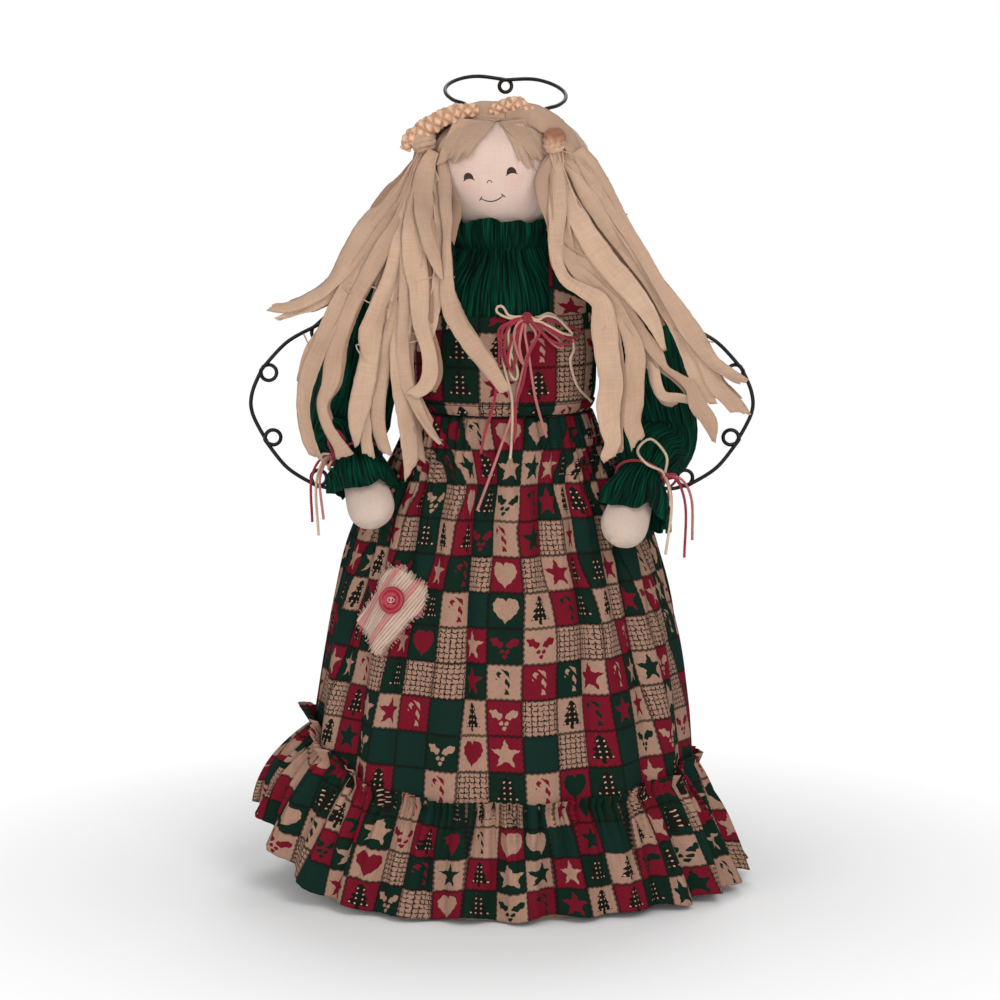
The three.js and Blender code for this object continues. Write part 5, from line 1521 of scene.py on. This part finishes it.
halo()
for hand, way in SIDES.items():
    wing(hand, way)
    heights = BIB_Z + CASING_RADIUS, BIB_TOP_Z - CASING_RADIUS
    ends = [np.array([way * WING_ROOT_X, WING_Y, z]) for z in heights]
    casing(f"wing_casing_{hand}", *ends, PRINT, "print")

# Yarn: the bow on the bib and the ties at the wrists

BOW_X, BOW_PILE = 13.5, 0.9
BOW_LOOPS = [
    [(-7, -2), (-10, -8), (-9, -18), (-5, -29), (-6, -34), (-9, -30), (-9, -20), (-5, -5)],
    [(-7, -1), (-13, -6), (-14, -16), (-11, -26), (-10, -19), (-7, -8)],
    [(-6, -2), (-11, -7), (-12, -19), (-8, -29), (-6, -20), (-5, -9)],
    [(-5, -3), (-7, -10), (-5, -19), (-2, -25), (-4, -16), (-3, -7)],
    [(-9, 1), (-13, 6), (-16, 6), (-16, 3), (-10, 0)],
    [(7, -1), (14, -2), (23, -6), (30, -9), (26, -12), (17, -10), (7, -3)],
    [(6, -3), (12, -6), (20, -11), (25, -14), (19, -15), (11, -11), (5, -4)],
    [(6, -1), (11, 1), (17, -1), (22, -6), (25, -10), (20, -9), (13, -5), (7, -2)],
    [(5, -4), (10, -10), (16, -16), (20, -17), (17, -12), (11, -7), (6, -3)],
]
BOW_TAILS = [
    [(-6, -1), (-13, -6), (-14, -16), (-12, -28), (-8, -45), (-8, -63), (-9, -76)],
    [(-7, -2), (-15, -6), (-15, -17), (-16, -31), (-18, -47), (-23, -63), (-25, -73)],
    [(-1, -8), (1, -20), (4, -40), (7, -53), (11, -65)],
    [(4, -3), (7, -8), (1, -20), (-2, -35), (-6, -48), (-6, -58), (-7, -67)],
    [(6, 0), (12, 2), (17, -1), (23, -7), (26, -18), (24, -25), (28, -39), (36, -49)],
    [(2, -4), (5, -10), (-0, -21), (-4, -36), (-7, -50), (-14, -69), (-20, -85), (-27, -103)],
]
LOOP_YARNS = [
    CREAM_YARN, RED_YARN, RED_YARN, PINK_YARN, CREAM_YARN, RED_YARN, RED_YARN, CREAM_YARN, PINK_YARN,
]
TAIL_YARNS = [CREAM_YARN, RED_YARN, PINK_YARN, RED_YARN, CREAM_YARN, PINK_YARN]
WRIST_TAILS = {"left": [(-3, 38), (2, 44), (6, 34)], "right": [(-12, 40), (2, 46), (8, 38)]}
# Round the wrist from the knot, and up from the tie
WRIST_LOOPS = {
    "left": [[(0.3, 6), (0.7, 8), (0.8, 1), (0.4, -3)], [(-0.3, 6), (-0.7, 7), (-0.8, 1), (-0.4, -3)]],
    "right": [
        [(0.5, 7), (1.1, 11), (1.4, 4), (1.0, -4), (0.4, -2)],
        [(-0.3, 6), (-0.8, 9), (-0.9, 3), (-0.4, -1)],
        [(-0.3, -2), (-0.7, -8), (-0.8, -16), (-0.5, -12), (-0.2, -5)],
    ],
}


def dress_front(x, z, lift):
    if z > SKIRT_TOP_Z:
        return float(front_of(blouse_at(min(z, BIB_TOP_Z)), x, JUMPER_OUT + CLOTH / 2 + lift))
    return float(front_of(skirt_at(z), x, SKIRT_FOLD_DEPTH + CLOTH / 2 + lift))


def yarn(name, points, material, body):
    line = route(points, 12)
    line = resample(line, max(int(lengths(line)[-1] / 0.8), 24))
    obj = capped(name, tube(line, YARN / 2, 12, 3, 4.5), material, body)
    return obj


def knot(name, at, radius, material, body):
    """A lump of wound turns."""
    turn = np.linspace(0, math.tau, 40, endpoint=False)[None]
    tilt = np.linspace(0.06, math.pi - 0.06, 34)[:, None]
    size = radius * (0.62 + 0.3 * np.abs(np.sin(2 * turn + 5 * np.cos(tilt) + 0.8 * np.sin(2 * turn))) ** 0.7)
    spread = together(np.sin(tilt) * np.cos(turn), np.sin(tilt) * np.sin(turn), np.cos(tilt))
    return capped(name, at + spread * size[..., None], material, body)


def bow():
    middle = np.array([BOW_X, dress_front(BOW_X, BIB_TOP_Z, KNOT_RADIUS + LAYER_GAP), BIB_TOP_Z])

    def on_dress(row, k):
        x, z = BOW_X + row[0], BIB_TOP_Z + row[1]
        return np.array([x, dress_front(x, z, YARN_LIFT + YARN / 2 + BOW_PILE * (k % 4)), z])

    for k, (rows, material) in enumerate(zip(BOW_LOOPS, LOOP_YARNS)):
        apart = np.array([1.2, -0.4, 1.0])
        points = [middle + apart, *(on_dress(row, k) for row in rows), middle - apart]
        loop = yarn(f"bow_loop_{k + 1}", points, material, "doll")
        if k == 0:
            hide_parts("yarn_bow")
    for k, (rows, material) in enumerate(zip(BOW_TAILS, TAIL_YARNS)):
        points = [middle, *(on_dress(row, k) for row in rows)]
        yarn(f"bow_tail_{k + 1}", points, material, "doll")
    knot("bow_knot", middle, KNOT_RADIUS, WINE_YARN, "doll")


def wrist_tie(name, side, pose):
    _, elbow, wrist, palm, _ = arm_places(side, pose)
    body = f"arm_{name}"
    rows = [elbow, lerp(elbow, wrist, 0.55), wrist, lerp(wrist, palm, 0.3), lerp(wrist, palm, 0.6)]
    ahead = along(route(rows, 8))[16]
    radius = TIE_OUT + CLOTH / 2 + YARN + FIT
    out = np.array([side * 0.85, -0.5, 0])
    out = unit(out - ahead * (out @ ahead))
    beside = unit(np.array([-out[1], out[0], 0]))
    middle = wrist + out * (radius + YARN / 2)

    def hang(reach, shift, fall):
        return middle + out * reach + beside * shift - np.array([0, 0, fall])

    turn = np.linspace(0.16, math.tau - 0.16, 24)
    ring = [wrist + radius * (out * math.cos(t) + np.cross(ahead, out) * math.sin(t)) for t in turn]
    obj = yarn(f"wrist_turn_{name}", ring, RED_YARN, body)
    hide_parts(f"wrist_tie_{name}")
    shades = [RED_YARN, CREAM_YARN, PINK_YARN] if side < 0 else [CREAM_YARN, RED_YARN, PINK_YARN]
    for k, (shift, fall) in enumerate(WRIST_TAILS[name]):
        points = [
            middle, hang(7, shift, 3), hang(CUFF_FLARE + 3, shift * 1.5, fall * 0.4),
            hang(CUFF_FLARE + 2, shift * 2, fall),
        ]
        yarn(f"wrist_tail_{name}_{k + 1}", points, shades[k], body)
    for k, rows in enumerate(WRIST_LOOPS[name]):
        apart = beside * 0.6 + np.array([0, 0, 1.0])
        loop = []
        for t, up in rows:
            away = out * math.cos(t) + np.cross(ahead, out) * side * math.sin(t)
            loop.append(wrist + (radius + 2.2 + 0.45 * abs(up)) * away - ahead * up)
        points = [middle + apart, *loop, middle - apart]
        yarn(f"wrist_loop_{name}_{k + 1}", points, shades[k], body)
    knot(f"wrist_knot_{name}", middle, KNOT_RADIUS * 0.75, RED_YARN, body)


bow()
for hand, way in SIDES.items():
    wrist_tie(hand, way, POSES[hand])

# Card cone: the solid's own shape, with a pressed-card material


def card(name):
    """Grey-brown card with fibres."""
    material = bpy.data.materials.new(name)
    material.use_nodes = True
    nodes, links = material.node_tree.nodes, material.node_tree.links
    shader = nodes["Principled BSDF"]
    shader.inputs["Roughness"].default_value = 0.92
    place = nodes.new("ShaderNodeTexCoord")
    fibres = nodes.new("ShaderNodeTexNoise")
    fibres.inputs["Scale"].default_value = 420.0
    fibres.inputs["Detail"].default_value = 6.0
    ramp = nodes.new("ShaderNodeValToRGB")
    ramp.color_ramp.elements[0].color = linear(120, 96, 68)
    ramp.color_ramp.elements[1].color = linear(186, 160, 124)
    bump = nodes.new("ShaderNodeBump")
    bump.inputs["Distance"].default_value = 0.0003
    links.new(place.outputs["Object"], fibres.inputs["Vector"])
    links.new(fibres.outputs["Fac"], ramp.inputs["Fac"])
    links.new(ramp.outputs["Color"], shader.inputs["Base Color"])
    links.new(fibres.outputs["Fac"], bump.inputs["Height"])
    links.new(bump.outputs["Normal"], shader.inputs["Normal"])
    return material


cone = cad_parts["inner_cone"].data
cone.materials.clear()
cone.materials.append(card("pressed_card"))

# Camera, light and floor

scene = bpy.context.scene
scene.view_settings.view_transform = "Standard"
camera_data = bpy.data.cameras.new("camera")
camera_data.sensor_width = 36
camera_data.lens = 141.4
camera = bpy.data.objects.new("camera", camera_data)
scene.collection.objects.link(camera)
scene.camera = camera
target, rise, away = Vector((-0.0011, 0, 0.2177)), math.radians(9), 2.2
camera.location = target + Vector((0, -math.cos(rise), math.sin(rise))) * away
camera.rotation_euler = (target - camera.location).to_track_quat("-Z", "Y").to_euler()


LIT = Vector((0, 0, 0.22))


def lamp(name, place, size, watts):
    data = bpy.data.lights.new(name, "AREA")
    data.size = size
    data.energy = watts
    obj = bpy.data.objects.new(name, data)
    obj.location = place
    obj.rotation_euler = (LIT - Vector(place)).to_track_quat("-Z", "Y").to_euler()
    scene.collection.objects.link(obj)


lamp("key", (0.7, -1.6, 1.4), 0.9, 15)
lamp("fill", (-1.3, -1.4, 0.8), 1.2, 9)
lamp("front", (0.1, -1.9, 0.42), 0.8, 10)
lamp("back", (0.2, 1.4, 1.5), 1.0, 10)


def floor():
    """Pale paper that shows the doll's shadow and turns to the white of the background further off."""
    mesh = bpy.data.meshes.new("floor")
    mesh.from_pydata([(-9, -9, 0), (9, -9, 0), (9, 9, 0), (-9, 9, 0)], [], [(0, 1, 2, 3)])
    material = bpy.data.materials.new("floor_paper")
    material.use_nodes = True
    nodes, links = material.node_tree.nodes, material.node_tree.links
    paper = nodes["Principled BSDF"]
    paper.inputs["Base Color"].default_value = (0.93, 0.93, 0.93, 1)
    paper.inputs["Roughness"].default_value = 0.95
    place = nodes.new("ShaderNodeTexCoord")
    reach = nodes.new("ShaderNodeVectorMath")
    reach.operation = "LENGTH"
    share = nodes.new("ShaderNodeMapRange")
    share.inputs["From Min"].default_value = 0.16
    share.inputs["From Max"].default_value = 0.36
    rays = nodes.new("ShaderNodeLightPath")
    seen = nodes.new("ShaderNodeMath")
    seen.operation = "MULTIPLY"
    glow = nodes.new("ShaderNodeEmission")
    both = nodes.new("ShaderNodeMixShader")
    links.new(place.outputs["Object"], reach.inputs[0])
    links.new(reach.outputs["Value"], share.inputs["Value"])
    links.new(share.outputs[0], seen.inputs[0])
    links.new(rays.outputs["Is Camera Ray"], seen.inputs[1])
    links.new(seen.outputs[0], both.inputs["Fac"])
    links.new(paper.outputs[0], both.inputs[1])
    links.new(glow.outputs[0], both.inputs[2])
    links.new(both.outputs[0], nodes["Material Output"].inputs["Surface"])
    mesh.materials.append(material)
    obj = bpy.data.objects.new("floor", mesh)
    scene.collection.objects.link(obj)


floor()
world = bpy.data.worlds.new("studio")
world.use_nodes = True
scene.world = world
sky = world.node_tree.nodes["Background"]
rays = world.node_tree.nodes.new("ShaderNodeLightPath")
white = world.node_tree.nodes.new("ShaderNodeBackground")
both = world.node_tree.nodes.new("ShaderNodeMixShader")
seen = world.node_tree.nodes.new("ShaderNodeMath")
seen.operation = "MAXIMUM"
sky.inputs["Color"].default_value = (1, 1, 1, 1)
sky.inputs["Strength"].default_value = 0.42
white.inputs["Color"].default_value = (1, 1, 1, 1)
white.inputs["Strength"].default_value = 1.0
links = world.node_tree.links
links.new(rays.outputs["Is Camera Ray"], seen.inputs[0])
links.new(rays.outputs["Is Glossy Ray"], seen.inputs[1])
links.new(seen.outputs[0], both.inputs["Fac"])
links.new(sky.outputs[0], both.inputs[1])
links.new(white.outputs[0], both.inputs[2])
links.new(both.outputs[0], world.node_tree.nodes["World Output"].inputs["Surface"])
